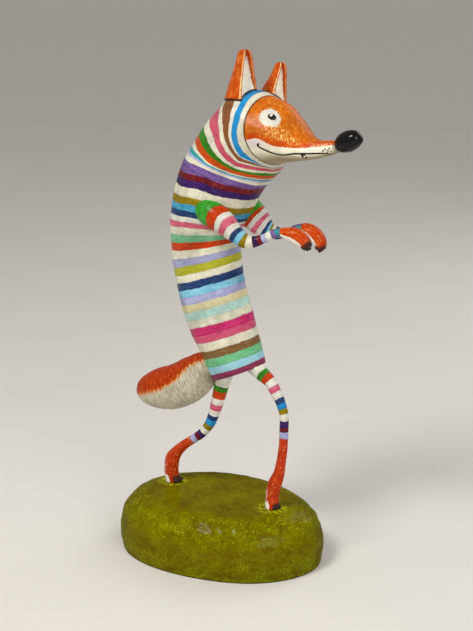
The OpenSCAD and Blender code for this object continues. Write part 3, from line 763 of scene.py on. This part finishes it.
def moss_material():
    """Olive paint with brown lows, crisp yellow-green dabs, brush marks round the feet and
    painted shade along the mound's bottom edge.
    """
    s = Shader("painted_moss")
    at = s.place()
    flat = s.noise(at, (0.05, 0.05, 0.1), 6.0, 0.72, 0.3)
    colour = s.ramp(s.step(flat, 0.36, 0.64), [
        (96, 80, 0), (102, 90, 0), (108, 99, 0), (114, 108, 0)])
    strokes = s.noise(at, (0.3, 0.5, 0.9), 5.0, 0.7)
    colour = s.mix(s.step(strokes, 0.46, 0.6) * 0.4, colour, (124, 122, 0))
    patch = s.step(s.noise(at, (0.1, 0.1, 0.14), 6.0, 0.75), 0.44, 0.54)
    patch *= s.attribute("scumble")
    fine = s.noise(at, (0.55, 0.55, 0.7), 5.0, 0.75)
    colour = s.mix(patch * s.step(fine, 0.42, 0.56), colour, (122, 126, 0))
    colour = s.mix(patch * s.step(fine, 0.56, 0.63), colour, (158, 172, 26))
    low = s.step(s.noise(at, 0.12, 5.0, 0.7), 0.56, 0.66)
    colour = s.mix(low * 0.34, colour, (84, 58, 0))
    ring = s.step(s.noise(at, 0.3, 4.0, 0.6), 0.46, 0.56)
    colour = s.mix(ring * s.attribute("by_feet"), colour, (168, 172, 20))
    # Painted shade: nearly black along the lowest mm or two, where the mound meets the floor.
    foot = s.step(s.attribute("up"), 1.6, 0.4)
    colour = s.mix(foot * 0.7, colour, (36, 30, 6))
    return varnished(s, colour, strokes, depth=0.45, deepest_shade=0.84, coat=0.11, specular=0.0)


def dark_material(name, colour, roughness, coat):
    """Glossy near-black paint, uneven where the brush dragged."""
    s = Shader(name)
    at = s.place()
    drag = s.noise(at, (0.5, 0.5, 1.4), 4.0, 0.6)
    tint = s.mix(s.step(drag, 0.45, 0.75), colour, tuple(v + 12 for v in colour))
    rough = s.spread(s.noise(at, 0.5, 3.0), roughness - 0.08, roughness + 0.12)
    return s.finish(tint, rough, drag, 0.2, coat=coat, coat_roughness=0.07, specular=0.03)


def eye_material():
    """Black bead with a small white painted highlight."""
    s = Shader("glossy_eye")
    at = s.place()
    tint = s.mix(s.noise(at, 0.6, 3.0), (8, 6, 6), (18, 15, 13))
    uneven = (s.noise(at, 1.4) - 0.5) * 0.5
    # Painted highlight: a small white dot on the bead, where the light would shine.
    painted_highlight = s.step(s.attribute("painted_highlight") + uneven, 1.1, 0.85)
    return s.finish(s.mix(painted_highlight, tint, (236, 232, 220)), s.spread(s.noise(at, 0.8), 0.1, 0.2),
                    coat=0.5, coat_roughness=0.05, specular=0.1)


def tooth_material():
    """Cream paint, yellower in patches."""
    s = Shader("ivory_tooth")
    at = s.place()
    colour = s.mix(s.noise(at, 0.9, 3.0), (240, 236, 220), (214, 202, 170))
    rough = s.spread(s.noise(at, 1.2), 0.25, 0.4)
    return s.finish(colour, rough, s.noise(at, 2.0), 0.05, coat=0.4)


# ---- materials of the inner CAD pieces
def newspaper_material():
    """Crumpled grey newsprint, with painted shade along its creases and rubbed grey columns
    but no lettering.
    """
    s = Shader("crumpled_newsprint")
    at = s.place()
    crease = s.add("ShaderNodeTexVoronoi", "Distance", {"Vector": at, "Scale": 0.09},
                   feature="DISTANCE_TO_EDGE")
    rubbed = s.noise(at, (0.6, 0.6, 2.4), 3.0)
    colour = s.ramp(s.step(rubbed, 0.35, 0.65), [
        (150, 146, 138), (186, 182, 172), (204, 200, 188)])
    # Painted shade: darker along the creases.
    colour = s.darken(colour, s.spread(s.step(crease, 0.0, 0.12), 0.7, 1.0))
    return s.finish(colour, s.spread(s.noise(at, 0.4), 0.8, 0.95), crease, 1.2)


def wire_material():
    """Galvanised steel with drawn scratches and dull patches."""
    s = Shader("galvanised_wire")
    at = s.place()
    drawn = s.noise(at, (2.4, 2.4, 0.1), 4.0)
    colour = s.ramp(drawn, [(120, 120, 118), (160, 160, 156), (186, 186, 182)])
    return s.finish(colour, s.spread(s.noise(at, 0.5), 0.28, 0.55), drawn, 0.05, metallic=0.9)


def wood_material(name, light, dark):
    """Long grain along Y, with growth rings and pores."""
    s = Shader(name)
    at = s.place()
    rings = s.add("ShaderNodeTexWave", "Fac", {
        "Vector": s.scaled(at, (0.12, 0.012, 0.3)), "Scale": 1.0, "Distortion": 6.0,
        "Detail": 3.0})
    pores = s.noise(at, (1.8, 0.08, 1.8), 4.0)
    colour = s.mix(rings, light, dark)
    colour = s.darken(colour, s.spread(s.step(pores, 0.35, 0.6), 0.82, 1.0))
    return s.finish(colour, s.spread(pores, 0.55, 0.75), pores, 0.15)


def dress_cad():
    """Materials for the CAD pieces that stay."""
    newspaper = newspaper_material()
    wire = wire_material()
    dowel = wood_material("birch_dowel", (206, 176, 128), (176, 140, 92))
    looks = {
        "base_board": wood_material("plywood", (204, 170, 120), (166, 126, 80)),
        "mound_core": newspaper, "torso_roll": newspaper, "tail_core": newspaper,
        "head_core": newspaper, "right_ear_peg": dowel, "left_ear_peg": dowel,
    }
    looks.update((name, wire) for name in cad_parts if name.endswith("_wire"))
    for name, material in looks.items():
        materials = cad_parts[name].data.materials
        materials.clear()
        materials.append(material)


# ---- the visible pieces
JUMPER_SIDES = 184   # points round the torso, the hood and the face
LIMB_SIDES = 36      # points round an arm or a leg
EAR_STEPS = 26       # points across an ear's fold
DOME_RINGS = 5       # rings that round off a shoulder or a paw
SKIN = 2.0           # thickness of the pasted paper, but for the mound's
EAR_HOLLOW = 0.45    # depth of an ear's hollow, as a share of the ear's depth
HOOD_WIDEST = 294    # the height at which the hood is widest
HOOD_HALF = 30
HEM_INSET = 0.93     # the hem's paper, as a share of the jumper's end
LEG_ROOT = 6         # how far a leg reaches up into the jumper
MOUND_SKIN = 2.2


def stripe_count(run, ends):
    """Stripe number, with its fraction, at a distance run, for stripes with those ends."""
    return np.interp(run, [0, *ends], np.arange(len(ends) + 1))


def from_throat(angles):
    """Degrees round from the throat, the same on both sides."""
    return np.abs(np.degrees(angles) - 180)


def body_part(rows, step):
    """Angles, distances, grid and strokes of the torso, hood or face, from its last row on."""
    rows, along = even_rows(rows[::-1], [0, 1], step)
    angles = ring_angles(JUMPER_SIDES)
    grid = body_grid(rows, angles)
    return angles, along, grid, paint_space(grid, along)


def make_jumper(material):
    angles, along, grid, strokes = body_part(TORSO, 1.0)
    dip = 5 * smooth_step(from_throat(angles), 87, 140)[None]
    dip = dip * (1 - smooth_step(along, 30, 70))[:, None]
    stripe = stripe_count(along[:, None] - dip, np.cumsum([w for _, w in JUMPER_STRIPES]))
    relief = paper_relief(grid, strokes)
    piece = shell_loft("striped_jumper", raised(grid, relief * 0.75), SKIN, {
        "stripe": stripe, "strokes": strokes, "relief": relief}, material)
    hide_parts("jumper")


def make_hem(material):
    """Cream paper closing the jumper under the hem, a little domed."""
    rim, above = body_grid(np.array(TORSO[:2], float), ring_angles(92))
    centre = rim.mean(axis=0)
    up = above.mean(axis=0) - centre
    up /= np.linalg.norm(up)
    shares = [1.0, 0.94, 0.8, 0.6, 0.4, 0.2, 0.06]
    heights = [1.6, 0.3, -0.3, -0.6, -0.8, -0.9, -0.9]
    inset = (rim - centre) * HEM_INSET
    under = [centre + inset * k + up * h for k, h in zip(shares, heights)]
    over = [centre + inset * k + up * 3.0 for k in shares[::-1]]
    grid = np.array(over + under)
    strokes = paint_space(grid, np.linspace(0, 40, len(grid)))
    relief = paper_relief(grid, strokes, 0.4)
    piece = closed_loft("hem_cap", grid + up * relief[..., None] * 0.5, {
        "stripe": np.full(relief.shape, 0.5), "strokes": strokes, "relief": relief}, material)
    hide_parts("hem_disc")


def make_hood(material):
    angles, along, grid, strokes = body_part(HOOD, 0.8)
    ends = [np.interp(from_throat(angles), HOOD_ANGLES, at) for _, at in HOOD_STRIPES]
    stripe = np.stack([stripe_count(along, e) for e in np.transpose(ends)], 1)
    relief = paper_relief(grid, strokes, 0.7)
    calm = 0.35 + 0.35 * smooth_step(along, 0, 6)[:, None]
    piece = shell_loft("striped_hood", raised(grid, relief * calm), SKIN, {
        "stripe": stripe, "strokes": strokes, "relief": relief}, material)
    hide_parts("hood")


def distance_to_line(points, line):
    """Distance of each point from a line of points, in mm."""
    best = np.full(points.shape[:-1], 1e9)
    for a, b in zip(line[:-1], line[1:]):
        ab = b - a
        t = np.clip(((points - a) @ ab) / (ab @ ab + 1e-9), 0, 1)
        best = np.minimum(best, np.linalg.norm(points - a - t[..., None] * ab, axis=-1))
    return best


# Lines on the face: degrees round from the chin, and mm back from the muzzle's tip
MOUTH = [
    (14, 1.5), (50, 6.5), (66, 12.5), (69, 19), (66, 28), (57, 37), (51.5, 44), (51.5, 50),
    (56, 56), (65, 62.5), (71, 64.6), (74, 63.2),
]
LIP = [
    (112, 0), (112, 15), (100, 20), (95, 25), (90, 27), (83, 33), (78, 40), (74, 46), (73, 50),
    (77, 56), (82, 60), (84.5, 64), (82, 70), (82, 75),
]
WHISKERS = [(88, 5.4), (89, 1.8), (73, 3.2), (62, 0.9), (56, 4.4), (76, 7.2)]
TOOTH_LINE = [(58, 24), (44, 24.2)]


def on_face(grid, along, angle, run):
    """The face grid's point at degrees from the chin on the right side and a distance run."""
    column = (180 + angle) / 360 * grid.shape[1]
    row = np.interp(run, along, np.arange(len(along)))
    r, c = int(min(row, len(along) - 2)), int(column) % grid.shape[1]
    fr, fc = row - r, column - int(column)
    d = (c + 1) % grid.shape[1]
    return ((grid[r, c] * (1 - fc) + grid[r, d] * fc) * (1 - fr)
            + (grid[r + 1, c] * (1 - fc) + grid[r + 1, d] * fc) * fr)


def mirrored_on_head(points):
    """Points of the head's right side, mirrored to its left."""
    straight = turned(points, -HEAD_TURN)
    return on_head(straight * [-1, 1, 1])


def make_face(material):
    angles, along, grid, strokes = body_part(FACE, 0.55)
    mouth, tooth, dots = (np.array([on_face(grid, along, a, r) for a, r in marks])
                          for marks in (spline(MOUTH, 4), TOOTH_LINE, WHISKERS))
    line = np.minimum.reduce([
        distance_to_line(grid, mouth), distance_to_line(grid, mirrored_on_head(mouth)),
        distance_to_line(grid, tooth) - 0.9])
    dot = np.min([np.linalg.norm(grid - p, axis=-1)
                  for p in [*dots, *mirrored_on_head(dots)]], axis=0)
    relief = paper_relief(grid, strokes, 0.5)
    groove = 0.28 * np.exp(-(line / 0.7) ** 2)
    run = along[:, None] + 0 * line
    calm = 1 - smooth_step(run, along[-1] - 6, along[-1]) * 0.6

    # Where each paint goes, from degrees round from the throat and mm back from the tip
    round_way = from_throat(angles)[None] + 0 * line
    lip_at = np.interp(run, [r for _, r in LIP], [a for a, _ in LIP])
    lip = np.radians(round_way - lip_at) * ring_reach(grid)
    cheek = smooth_step(run, 22, 30) * (1 - smooth_step(run, 54, 62))
    cheek *= smooth_step(round_way, 91, 97) * (1 - smooth_step(round_way, 118, 126))
    paint = {
        "strokes": strokes, "relief": relief, "line": line, "dots": dot, "lip": lip,
        "eye_patch": np.hypot((round_way - 128) / 18, (run - 55.7) / 8.3),
        "cheek": cheek,
        "deep": np.maximum(1 - smooth_step(lip, 2.5, 6.5), 0.5 * smooth_step(run, 68, 76)),
        "muzzle": (1 - smooth_step(run, 12, 22)) * (1 - smooth_step(round_way, 126, 142)),
        # under: where the jaw's painted shade falls, on the side towards the throat.
        "under": 1 - smooth_step(round_way, 28, 66),
        "lilac": np.exp(-((run - 66) / 9) ** 2) * np.exp(-((lip + 2.5) / 4) ** 2),
        "rim": along[-1] - run,
    }
    grid = raised(grid, relief * 0.6 * calm - groove)
    piece = shell_loft("painted_face", grid[::-1], SKIN, {
        key: values[::-1] for key, values in paint.items()}, material, closed_end=True)
    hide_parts("face")


def eye_axes(mirror):
    """Forward along the face, up it and out of it at an eye. The mirror is -1 on the left."""
    origin = np.array([0, NECK_Y, 0])
    out = on_head([-mirror * 0.63, -0.47 + NECK_Y, 0.62]) - origin
    out /= np.linalg.norm(out)
    ahead = on_head([mirror * 0.16, -1 + NECK_Y, -0.12]) - origin
    ahead -= out * (ahead @ out)
    ahead /= np.linalg.norm(ahead)
    up = np.cross(out, ahead) * mirror
    return ahead, up * np.sign(up[2]), out


def make_eye(side, material):
    """A bead that stands a little out of the face: an oval dome with its back inside. The left
    one, which the photo doesn't show, is flatter and set back and down behind the brow."""
    mirror = 1 if side == "right" else -1
    ahead, up, out = eye_axes(mirror)
    centre = on_head([-mirror * EYE_AT[0], EYE_AT[1], EYE_AT[2]])
    lift, rise = 2.1, 1.4
    if side == "left":
        lift, rise = 1.8, 0.7
        centre = centre - 1.9 * ahead - 2.5 * up
    grid = np.array([ellipse(ring_angles(36), centre + out * (lift + rise * math.cos(p)),
                             ahead * EYE_LONG * math.sin(p), up * EYE_TALL * math.sin(p))
                     for p in np.radians(np.linspace(4, 176, 25))])
    # Middle of the painted highlight, near the top of the dome.
    highlight_at = centre + ahead * -0.6 + up * 0.5 + out * 3.4
    painted_highlight = np.linalg.norm(grid - highlight_at, axis=-1)
    piece = closed_loft(f"{side}_eye_bead", grid, {"painted_highlight": painted_highlight}, material)
    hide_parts(f"{side}_eye")


def make_nose(material):
    """An egg-shaped, slightly lumpy nose that tips up from the muzzle."""
    tilt = math.radians(NOSE_TILT)
    ahead = np.array([0, -math.cos(tilt), math.sin(tilt)])
    up = np.array([0, math.sin(tilt), math.cos(tilt)])
    rings = []
    for p in np.radians(np.linspace(3, 177, 56)):
        reach = NOSE_R * math.sin(p) ** 0.86 * (1 + 0.08 * math.cos(p))
        rings.append(ellipse(ring_angles(64), NOSE_AT - ahead * NOSE_LEN / 2 * math.cos(p),
                             (reach * 1.02, 0, 0), up * reach))
    grid = on_head(np.array(rings))
    lumps = each(lambda p: noise.noise(p / 8) * 0.5 + noise.noise(p / 3) * 0.12, grid)
    piece = closed_loft("glossy_nose", raised(grid, lumps * 1.1), {"relief": lumps}, material)
    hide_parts("nose")


def make_tooth(material):
    """One little tooth that hangs from the lip, bent back at its point."""
    rows = []
    for share in np.linspace(0, 1, 12):
        radius = 1.15 * (1 - share ** 1.6) + 0.12
        rows.append((TOOTH_AT[0] - 0.3 + 0.8 * share, TOOTH_AT[1] + 0.4 * share ** 2,
                     TOOTH_AT[2] - 0.1 - 2.0 * share, radius, radius * 0.8))
    grid = on_head(limb_grid(np.array(rows), ring_angles(20)))
    piece = closed_loft("tooth_at_lip", grid, {"relief": np.zeros(grid.shape[:2])}, material)
    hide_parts("tooth")


def hood_top(x, y):
    """Height of the hood over a point of the head, before the head's turn."""
    crest = np.interp(y, [row[0] for row in HOOD[:2:-1]], [row[1] for row in HOOD[:2:-1]])
    share = np.sqrt(np.maximum(1 - (x / HOOD_HALF) ** 2, 0.04))
    return HOOD_WIDEST + (crest - HOOD_WIDEST) * share


def make_ear(side, material):
    """A folded leaf of card and paper, open to the front, with rounded edges. Its hollow gets
    shallower towards the foot."""
    (at_x, at_y, at_z), height, size = EARS[side]
    out_way = math.copysign(1, at_x)
    rows = spline(EAR, 9)
    turn = np.linspace(0, math.pi, EAR_STEPS)
    curve = np.column_stack([np.cos(turn), np.sin(turn)])
    grid = []
    for share, half, depth, back, out in rows:
        half, depth = half * size, depth * size
        deep = depth * EAR_HOLLOW * (0.12 + 0.88 * smooth_step(share, 0, 0.34))
        hollow = curve[::-1] * [half * max(1 - 1.6 / half, 0.2), deep] + [0, 0.6]
        section = np.concatenate([curve * [half, depth], hollow])
        x = at_x + section[:, 0] + out_way * out * size
        y = at_y + section[:, 1] + back
        foot = hood_top(x, y) + 0.2
        grid.append(np.column_stack([x, y, foot + share * (at_z + height - foot)]))
    grid = on_head(np.array(grid))
    strokes = paint_space(grid, rows[:, 0] * height)
    relief = paper_relief(grid, strokes, 0.5)
    rise = np.sin(turn) ** 0.5
    piece = closed_loft(f"{side}_ear_leaf", raised(grid, relief * 0.3), {
        "strokes": strokes, "relief": relief, "up": rows[:, :1] + 0 * relief,
        "inside": np.concatenate([-rise, rise])[None] + 0 * relief}, material)
    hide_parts(f"{side}_ear")


def limb_part(rows, first_run, last_run, step=0.8):
    """Grid, distances and strokes of the stretch of a limb between two distances."""
    even, along = even_rows(rows, [0, 1, 2], step)
    keep = (along >= first_run - step / 2) & (along <= last_run + step / 2)
    grid = limb_grid(even, ring_angles(LIMB_SIDES))[keep]
    return grid, along[keep], paint_space(grid, along[keep])


def line_length(rows):
    return even_rows(rows, [0, 1, 2], 1.0)[1][-1]


def joint_run(upper, lower):
    """Distance along an arm or leg at which its paw or foot starts."""
    dense = spline(upper + lower, 24)[:24 * (len(upper) - 1) + 1, :3]
    return np.linalg.norm(np.diff(dense, axis=0), axis=1).sum()


def limb_end(upper, lower):
    """A paw's or foot's grid, its strokes and relief, and each ring's share of the way."""
    start, end = joint_run(upper, lower), line_length(upper + lower)
    grid, along, strokes = limb_part(upper + lower, start, end, 0.5)
    relief = paper_relief(grid, strokes, 0.4, wide=8, tall=12)
    return grid, strokes, relief, ((along - start) / (end - start))[:, None]


def facing(degrees, repeats=1):
    """1 on a limb's side at those degrees, and 0 on the opposite one."""
    return np.cos(repeats * (ring_angles(LIMB_SIDES) - math.radians(degrees)))[None] * 0.5 + 0.5


def domed(grid, attributes, first, bulge=0.8):
    """The grid with rings added that close one end in a dome, and its attributes with the
    end's values carried on over them."""
    ring, before = (grid[0], grid[2]) if first else (grid[-1], grid[-3])
    centre = ring.mean(axis=0)
    way = centre - before.mean(axis=0)
    way /= np.linalg.norm(way)
    reach = np.linalg.norm(ring - centre, axis=1).mean()
    dome = [centre + (ring - centre) * math.cos(a) + way * reach * bulge * math.sin(a)
            for a in np.radians(np.linspace(0, 86, DOME_RINGS + 1)[1:])]
    extra = (DOME_RINGS, 0) if first else (0, DOME_RINGS)
    return np.concatenate([dome[::-1], grid] if first else [grid, dome]), {
        key: np.pad(values, [extra] + [(0, 0)] * (values.ndim - 1), "edge")
        for key, values in attributes.items()}


def make_sleeve(side, arm, paw, ends, material):
    grid, along, strokes = limb_part(arm + paw, 0, joint_run(arm, paw))
    angles = ring_angles(LIMB_SIDES)
    if side == "right":
        slant = 2.6 * np.sin(angles - math.radians(205)) ** 2
    else:
        slant = 1.6 * np.cos(angles - math.radians(170)) + 0.2
    shift = slant[None] * (1 - smooth_step(along, 30, 48))[:, None]
    stripe = stripe_count(along[:, None] - shift, ends)
    relief = paper_relief(grid, strokes, 0.5, wide=9, tall=14)
    piece = closed_loft(f"{side}_striped_sleeve", *domed(raised(grid, relief * 0.5), {
        "stripe": stripe, "strokes": strokes, "relief": relief}, True), material)
    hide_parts(f"{side}_sleeve")


def make_paw(side, arm, paw, material):
    """White underneath and smoky at the finger tips, with grooves between the fingers."""
    grid, strokes, relief, share = limb_end(arm, paw)
    fingers = (facing(90, 3) - 0.5) * smooth_step(share, 0.45, 1)
    white = smooth_step(facing(95), 0.42, 0.86) * (1 - smooth_step(share, 0.8, 1))
    smoke = smooth_step(share, 0.72, 1.05) + 0 * relief
    piece = closed_loft(f"{side}_painted_paw", *domed(
        raised(grid, (relief + fingers) * 0.5), {
            "strokes": strokes, "relief": relief, "white": white, "smoke": smoke},
        False, 0.45), material)
    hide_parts(f"{side}_paw")


def below_hem(grid):
    """Keeps a leg's points under the plane of the hem, so that its top is cut flat there."""
    back_y, back_z, front_y, front_z = TORSO[0][:4]
    slope = (front_z - back_z) / (front_y - back_y)
    out = grid.copy()
    out[..., 2] = np.minimum(out[..., 2], back_z + (out[..., 1] - back_y) * slope + 0.4)
    return out


def make_leg(side, leg, foot, ends, material):
    """The leg starts LEG_ROOT inside the jumper, where it is cut off under the hem."""
    up = np.array(leg[0][:3]) - leg[1][:3]
    top = (*(leg[0][:3] + up / np.linalg.norm(up) * LEG_ROOT), *leg[0][3:])
    grid, along, strokes = limb_part([top] + leg + foot, 0, joint_run([top] + leg, foot))
    stripe = stripe_count(np.maximum(along - LEG_ROOT, 0), ends + (along[-1],))[:, None]
    relief = paper_relief(grid, strokes, 0.45, wide=8, tall=14)
    piece = closed_loft(f"{side}_striped_leg", below_hem(raised(grid, relief * 0.4)), {
        "stripe": stripe + 0 * relief, "strokes": strokes, "relief": relief}, material)
    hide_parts(f"{side}_leg")


def make_foot(side, leg, foot, material):
    """The heel is white at the bottom, and the toes in front are smoky."""
    grid, strokes, relief, share = limb_end(leg, foot)
    heel, toes = facing(128), facing(270)
    low = smooth_step(share, 0.72, 0.9)
    grid = raised(grid, relief * 0.5)
    grid[..., 1] -= toes * smooth_step(share, 0.72, 0.98) * 1.3
    grid[..., 2] = np.maximum(grid[..., 2], 0)
    grid[-1, :, 2] = 0
    white = smooth_step(heel, 0.7, 0.95) * (0.42 * smooth_step(share, 0.2, 0.5) + 0.58 * low)
    piece = closed_loft(f"{side}_painted_foot", grid, {
        "strokes": strokes, "relief": relief, "white": white,
        "smoke": smooth_step(toes, 0.45, 0.9) * low}, material)
    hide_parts(f"{side}_foot")


def claw_mesh(root, way, length, radius):
    """Grid of one small blunt claw that bends down towards its point."""
    way = np.array(way, float) / np.linalg.norm(way)
    side = np.cross(way, [0, 0, 1])
    side /= np.linalg.norm(side)
    up = np.cross(side, way)
    rings = []
    for share in np.linspace(0, 1, 12):
        reach = radius * math.sqrt(max(1 - share ** 2, 0.004))
        centre = root + way * length * share - up * 0.9 * share ** 2
        rings.append(ellipse(ring_angles(16), centre, side * reach, up * reach * 0.8))
    return np.array(rings)


def make_claws(name, node, claws, material):
    """Three claws in one piece, as separate closed solids."""
    grids = [claw_mesh(*claw) for claw in claws]
    vertices = [with_ends(grid) for grid in grids]
    faces = []
    for i, grid in enumerate(grids):
        faces += loft_faces(*grid.shape[:2], first=i * len(vertices[0]))
    piece = add_piece(name, place(np.concatenate(vertices)), faces, {}, material)
    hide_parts(node)


def foot_claws(foot):
    x, y, _, _, reach = foot[-1]
    return [((x + side * 3.3, y - reach + 0.4 + abs(side) * 1.5, 1.9), (side * 0.25, -1, -0.12),
             3.3, 1.7) for side in (-1, 0, 1)]


def paw_claws(paw):
    tip, before = np.array(paw[-1][:3]), np.array(paw[-2][:3])
    way = (tip - before) / np.linalg.norm(tip - before)
    return [(tip + [side * 2.5, 0, 0] - way * 0.4, way + [side * 0.2, -0.1, 0], 3.4, 1.5)
            for side in (-1, 0, 1)]


def make_tail(material):
    """Fur counts mm up from the line where the orange meets the cream, which hangs lower
    towards the tip."""
    rows, along = even_rows(TAIL, [0, 1, 2], 0.9)
    angles = ring_angles(96)
    grid = limb_grid(rows, angles)
    strokes = paint_space(grid, along)
    from_top = np.abs((np.degrees(angles) + 90) % 360 - 180)
    edge = np.interp(along, [0, 70, 78], [58, 96, 110])
    fur = np.radians(edge[:, None] - from_top[None]) * ring_reach(grid)
    hairs = each(lambda p: noise.noise(Vector((p.x / 5, p.y / 2.4 + p.z / 6, p.z / 12))), grid)
    # shade: where the painted shade falls, under the tail and towards its root.
    shade = (1 - smooth_step(along, 4, 22))[:, None] * smooth_step(from_top, 60, 120)[None]
    relief = paper_relief(grid, strokes, 0.45) + hairs * 0.25
    piece = shell_loft("brushed_tail", raised(grid, relief * 0.7), SKIN, {
        "relief": relief, "fur": fur, "shade": shade}, material, closed_end=True)
    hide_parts("tail_skin")


def make_mound(material):
    """The paper shell of the mound, crumpled on its sides and smoother on top."""
    side = spline(MOUND, 10)
    top = [(share, 1.0) for share in np.linspace(side[-1][0], 0.02, 41)[1:]]
    profile = np.concatenate([side, top])
    profile = profile[:len(profile) - (len(profile) - 1) % 4]
    share, height = profile[:, :1], profile[:, 1:]
    angles = ring_angles(240)
    wobble = 1 + 0.012 * np.sin(math.radians(40) - 3 * angles) + 0.008 * np.cos(5 * angles)
    grid = np.stack([
        MOUND_WID / 2 * share * wobble * np.cos(angles),
        FORWARD - MOUND_LEN / 2 * share * wobble * np.sin(angles),
        MOUND_TOP * (height - 1) + 0 * share * wobble], -1)
    steep = smooth_step(share, 0.66, 0.9)
    folds = each(lambda p: crumple(Vector((p.x, p.y, p.z * 1.6)), 17), grid)
    lumps = each(lambda p: noise.noise(p / 30) * 0.8 + noise.noise(p / 10) * 0.3, grid)
    relief = (folds - 0.4) * (0.35 + 1.1 * steep) + lumps * (0.4 + 0.4 * steep)
    relief = relief * smooth_step(height, 0, 0.08)
    flat_top = 1 - 0.75 * smooth_step(height, 0.97, 1)
    grid = raised(grid, relief * 0.8 * flat_top)
    grid[..., 2] = np.minimum(grid[..., 2], 0.25)
    away = np.min([np.linalg.norm(grid[..., :2] - foot[-1][:2], axis=-1)
                   for foot in (RIGHT_FOOT, LEFT_FOOT)], axis=0)
    by_feet = smooth_step(away, 6, 8) * (1 - smooth_step(away, 9, 15)) * (height > 0.98)
    scumble = 0.25 + 0.75 * np.maximum(
        np.exp(-((height - 0.82) / 0.24) ** 2), np.exp(-((height - 0.1) / 0.24) ** 2))
    scumble = scumble * (1 - 0.7 * smooth_step(height, 0.97, 1)) + 0 * away
    piece = shell_loft("mossy_mound", grid, MOUND_SKIN, {
        "relief": relief, "by_feet": by_feet, "scumble": scumble,
        "up": grid[..., 2] + MOUND_TOP}, material, closed_end=True)
    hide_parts("mound_skin")


# ---- floor, lights and camera, in metres and degrees
FLOOR = 40           # half the floor's side
SKY_STRENGTH = 0.42
FOX_MIDDLE = (0, 0, 0.22)
CAMERA_AT = (-0.891, -0.457, 0.465)
CAMERA_TURN = -0.602     # from aiming at the fox's upright line
CAMERA_PITCH = -15.05
CAMERA_LENS = 76.05      # mm


def make_stage():
    """A pale floor and a soft, slightly warm sky."""
    s = Shader("pale_floor")
    colour = s.mix(s.noise(s.place(), 0.01, 3.0), (222, 219, 213), (228, 225, 219))
    mesh = bpy.data.meshes.new("floor")
    mesh.from_pydata([(-FLOOR, -FLOOR, 0), (FLOOR, -FLOOR, 0), (FLOOR, FLOOR, 0),
                      (-FLOOR, FLOOR, 0)], [], [(0, 1, 2, 3)])
    mesh.materials.append(s.finish(colour, 0.9))
    floor = add_object("floor", mesh)
    world = bpy.data.worlds.new("studio")
    world.use_nodes = True
    sky = world.node_tree.nodes["Background"].inputs
    sky["Color"].default_value = (1.0, 0.98, 0.95, 1)
    sky["Strength"].default_value = SKY_STRENGTH
    bpy.context.scene.world = world


def add_light(name, at, size, power, colour):
    """A round soft light at a place in metres, aimed at the fox's middle."""
    data = bpy.data.lights.new(name, "AREA")
    data.shape = "DISK"
    data.size = size
    data.energy = power
    data.color = colour
    light = add_object(name, data)
    light.location = at
    way = Vector(FOX_MIDDLE) - Vector(at)
    light.rotation_euler = way.to_track_quat("-Z", "Y").to_euler()


def make_lights():
    add_light("key_softbox", (-0.85, 0.25, 1.25), 0.5, 12, (1.0, 0.97, 0.92))
    add_light("front_fill", (-0.9, -1.1, 0.75), 0.9, 7, (1.0, 0.98, 0.96))
    add_light("far_fill", (1.1, -0.5, 0.9), 0.9, 4, (0.97, 0.98, 1.0))


def make_camera():
    """The photograph's view: from the fox's front right, a little above its waist."""
    data = bpy.data.cameras.new("camera")
    data.sensor_width = 36
    data.lens = CAMERA_LENS
    camera = add_object("camera", data)
    camera.location = CAMERA_AT
    x, y, _ = CAMERA_AT
    heading = math.atan2(-y - FORWARD * MM, -x) + math.radians(CAMERA_TURN)
    pitch = math.radians(CAMERA_PITCH)
    way = Vector((math.cos(heading) * math.cos(pitch), math.sin(heading) * math.cos(pitch),
                  math.sin(pitch)))
    camera.rotation_euler = way.to_track_quat("-Z", "Y").to_euler()
    bpy.context.scene.camera = camera


make_camera()
make_stage()
make_lights()
dress_cad()
make_mound(moss_material())
make_jumper(striped_material("jumper_stripes", [c for c, _ in JUMPER_STRIPES]))
make_hem(striped_material("hem_paper", ["cream"]))
make_hood(striped_material("hood_stripes", [c for c, _ in HOOD_STRIPES]))
make_face(face_material())
make_nose(dark_material("nose_black", (8, 6, 5), 0.2, 0.42))
make_tooth(tooth_material())
make_tail(tail_material())
bead = eye_material()
ear_paint = ear_material()
sleeve_paint = striped_material("sleeve_stripes", SLEEVE_COLOURS)
paw_paint = limb_end_material("painted_paw", "paw")
leg_paint = striped_material("leg_stripes", LEG_COLOURS, shank=True)
foot_paint = limb_end_material("painted_foot", "foot")
claw_paint = dark_material("smoky_claws", (30, 26, 25), 0.4, 0.4)
for side, arm, paw, sleeve_ends, leg, foot, leg_ends in (
        ("right", RIGHT_ARM, RIGHT_PAW, RIGHT_SLEEVE_ENDS, RIGHT_LEG, RIGHT_FOOT, RIGHT_LEG_ENDS),
        ("left", LEFT_ARM, LEFT_PAW, LEFT_SLEEVE_ENDS, LEFT_LEG, LEFT_FOOT, LEFT_LEG_ENDS)):
    make_eye(side, bead)
    make_ear(side, ear_paint)
    make_sleeve(side, arm, paw, sleeve_ends, sleeve_paint)
    make_paw(side, arm, paw, paw_paint)
    make_leg(side, leg, foot, leg_ends, leg_paint)
    make_foot(side, leg, foot, foot_paint)
    make_claws(f"{side}_toe_claws", f"{side}_foot_claws", foot_claws(foot), claw_paint)
    make_claws(f"{side}_finger_claws", f"{side}_paw_claws", paw_claws(paw), claw_paint)

bpy.context.scene.view_settings.view_transform = "Standard"
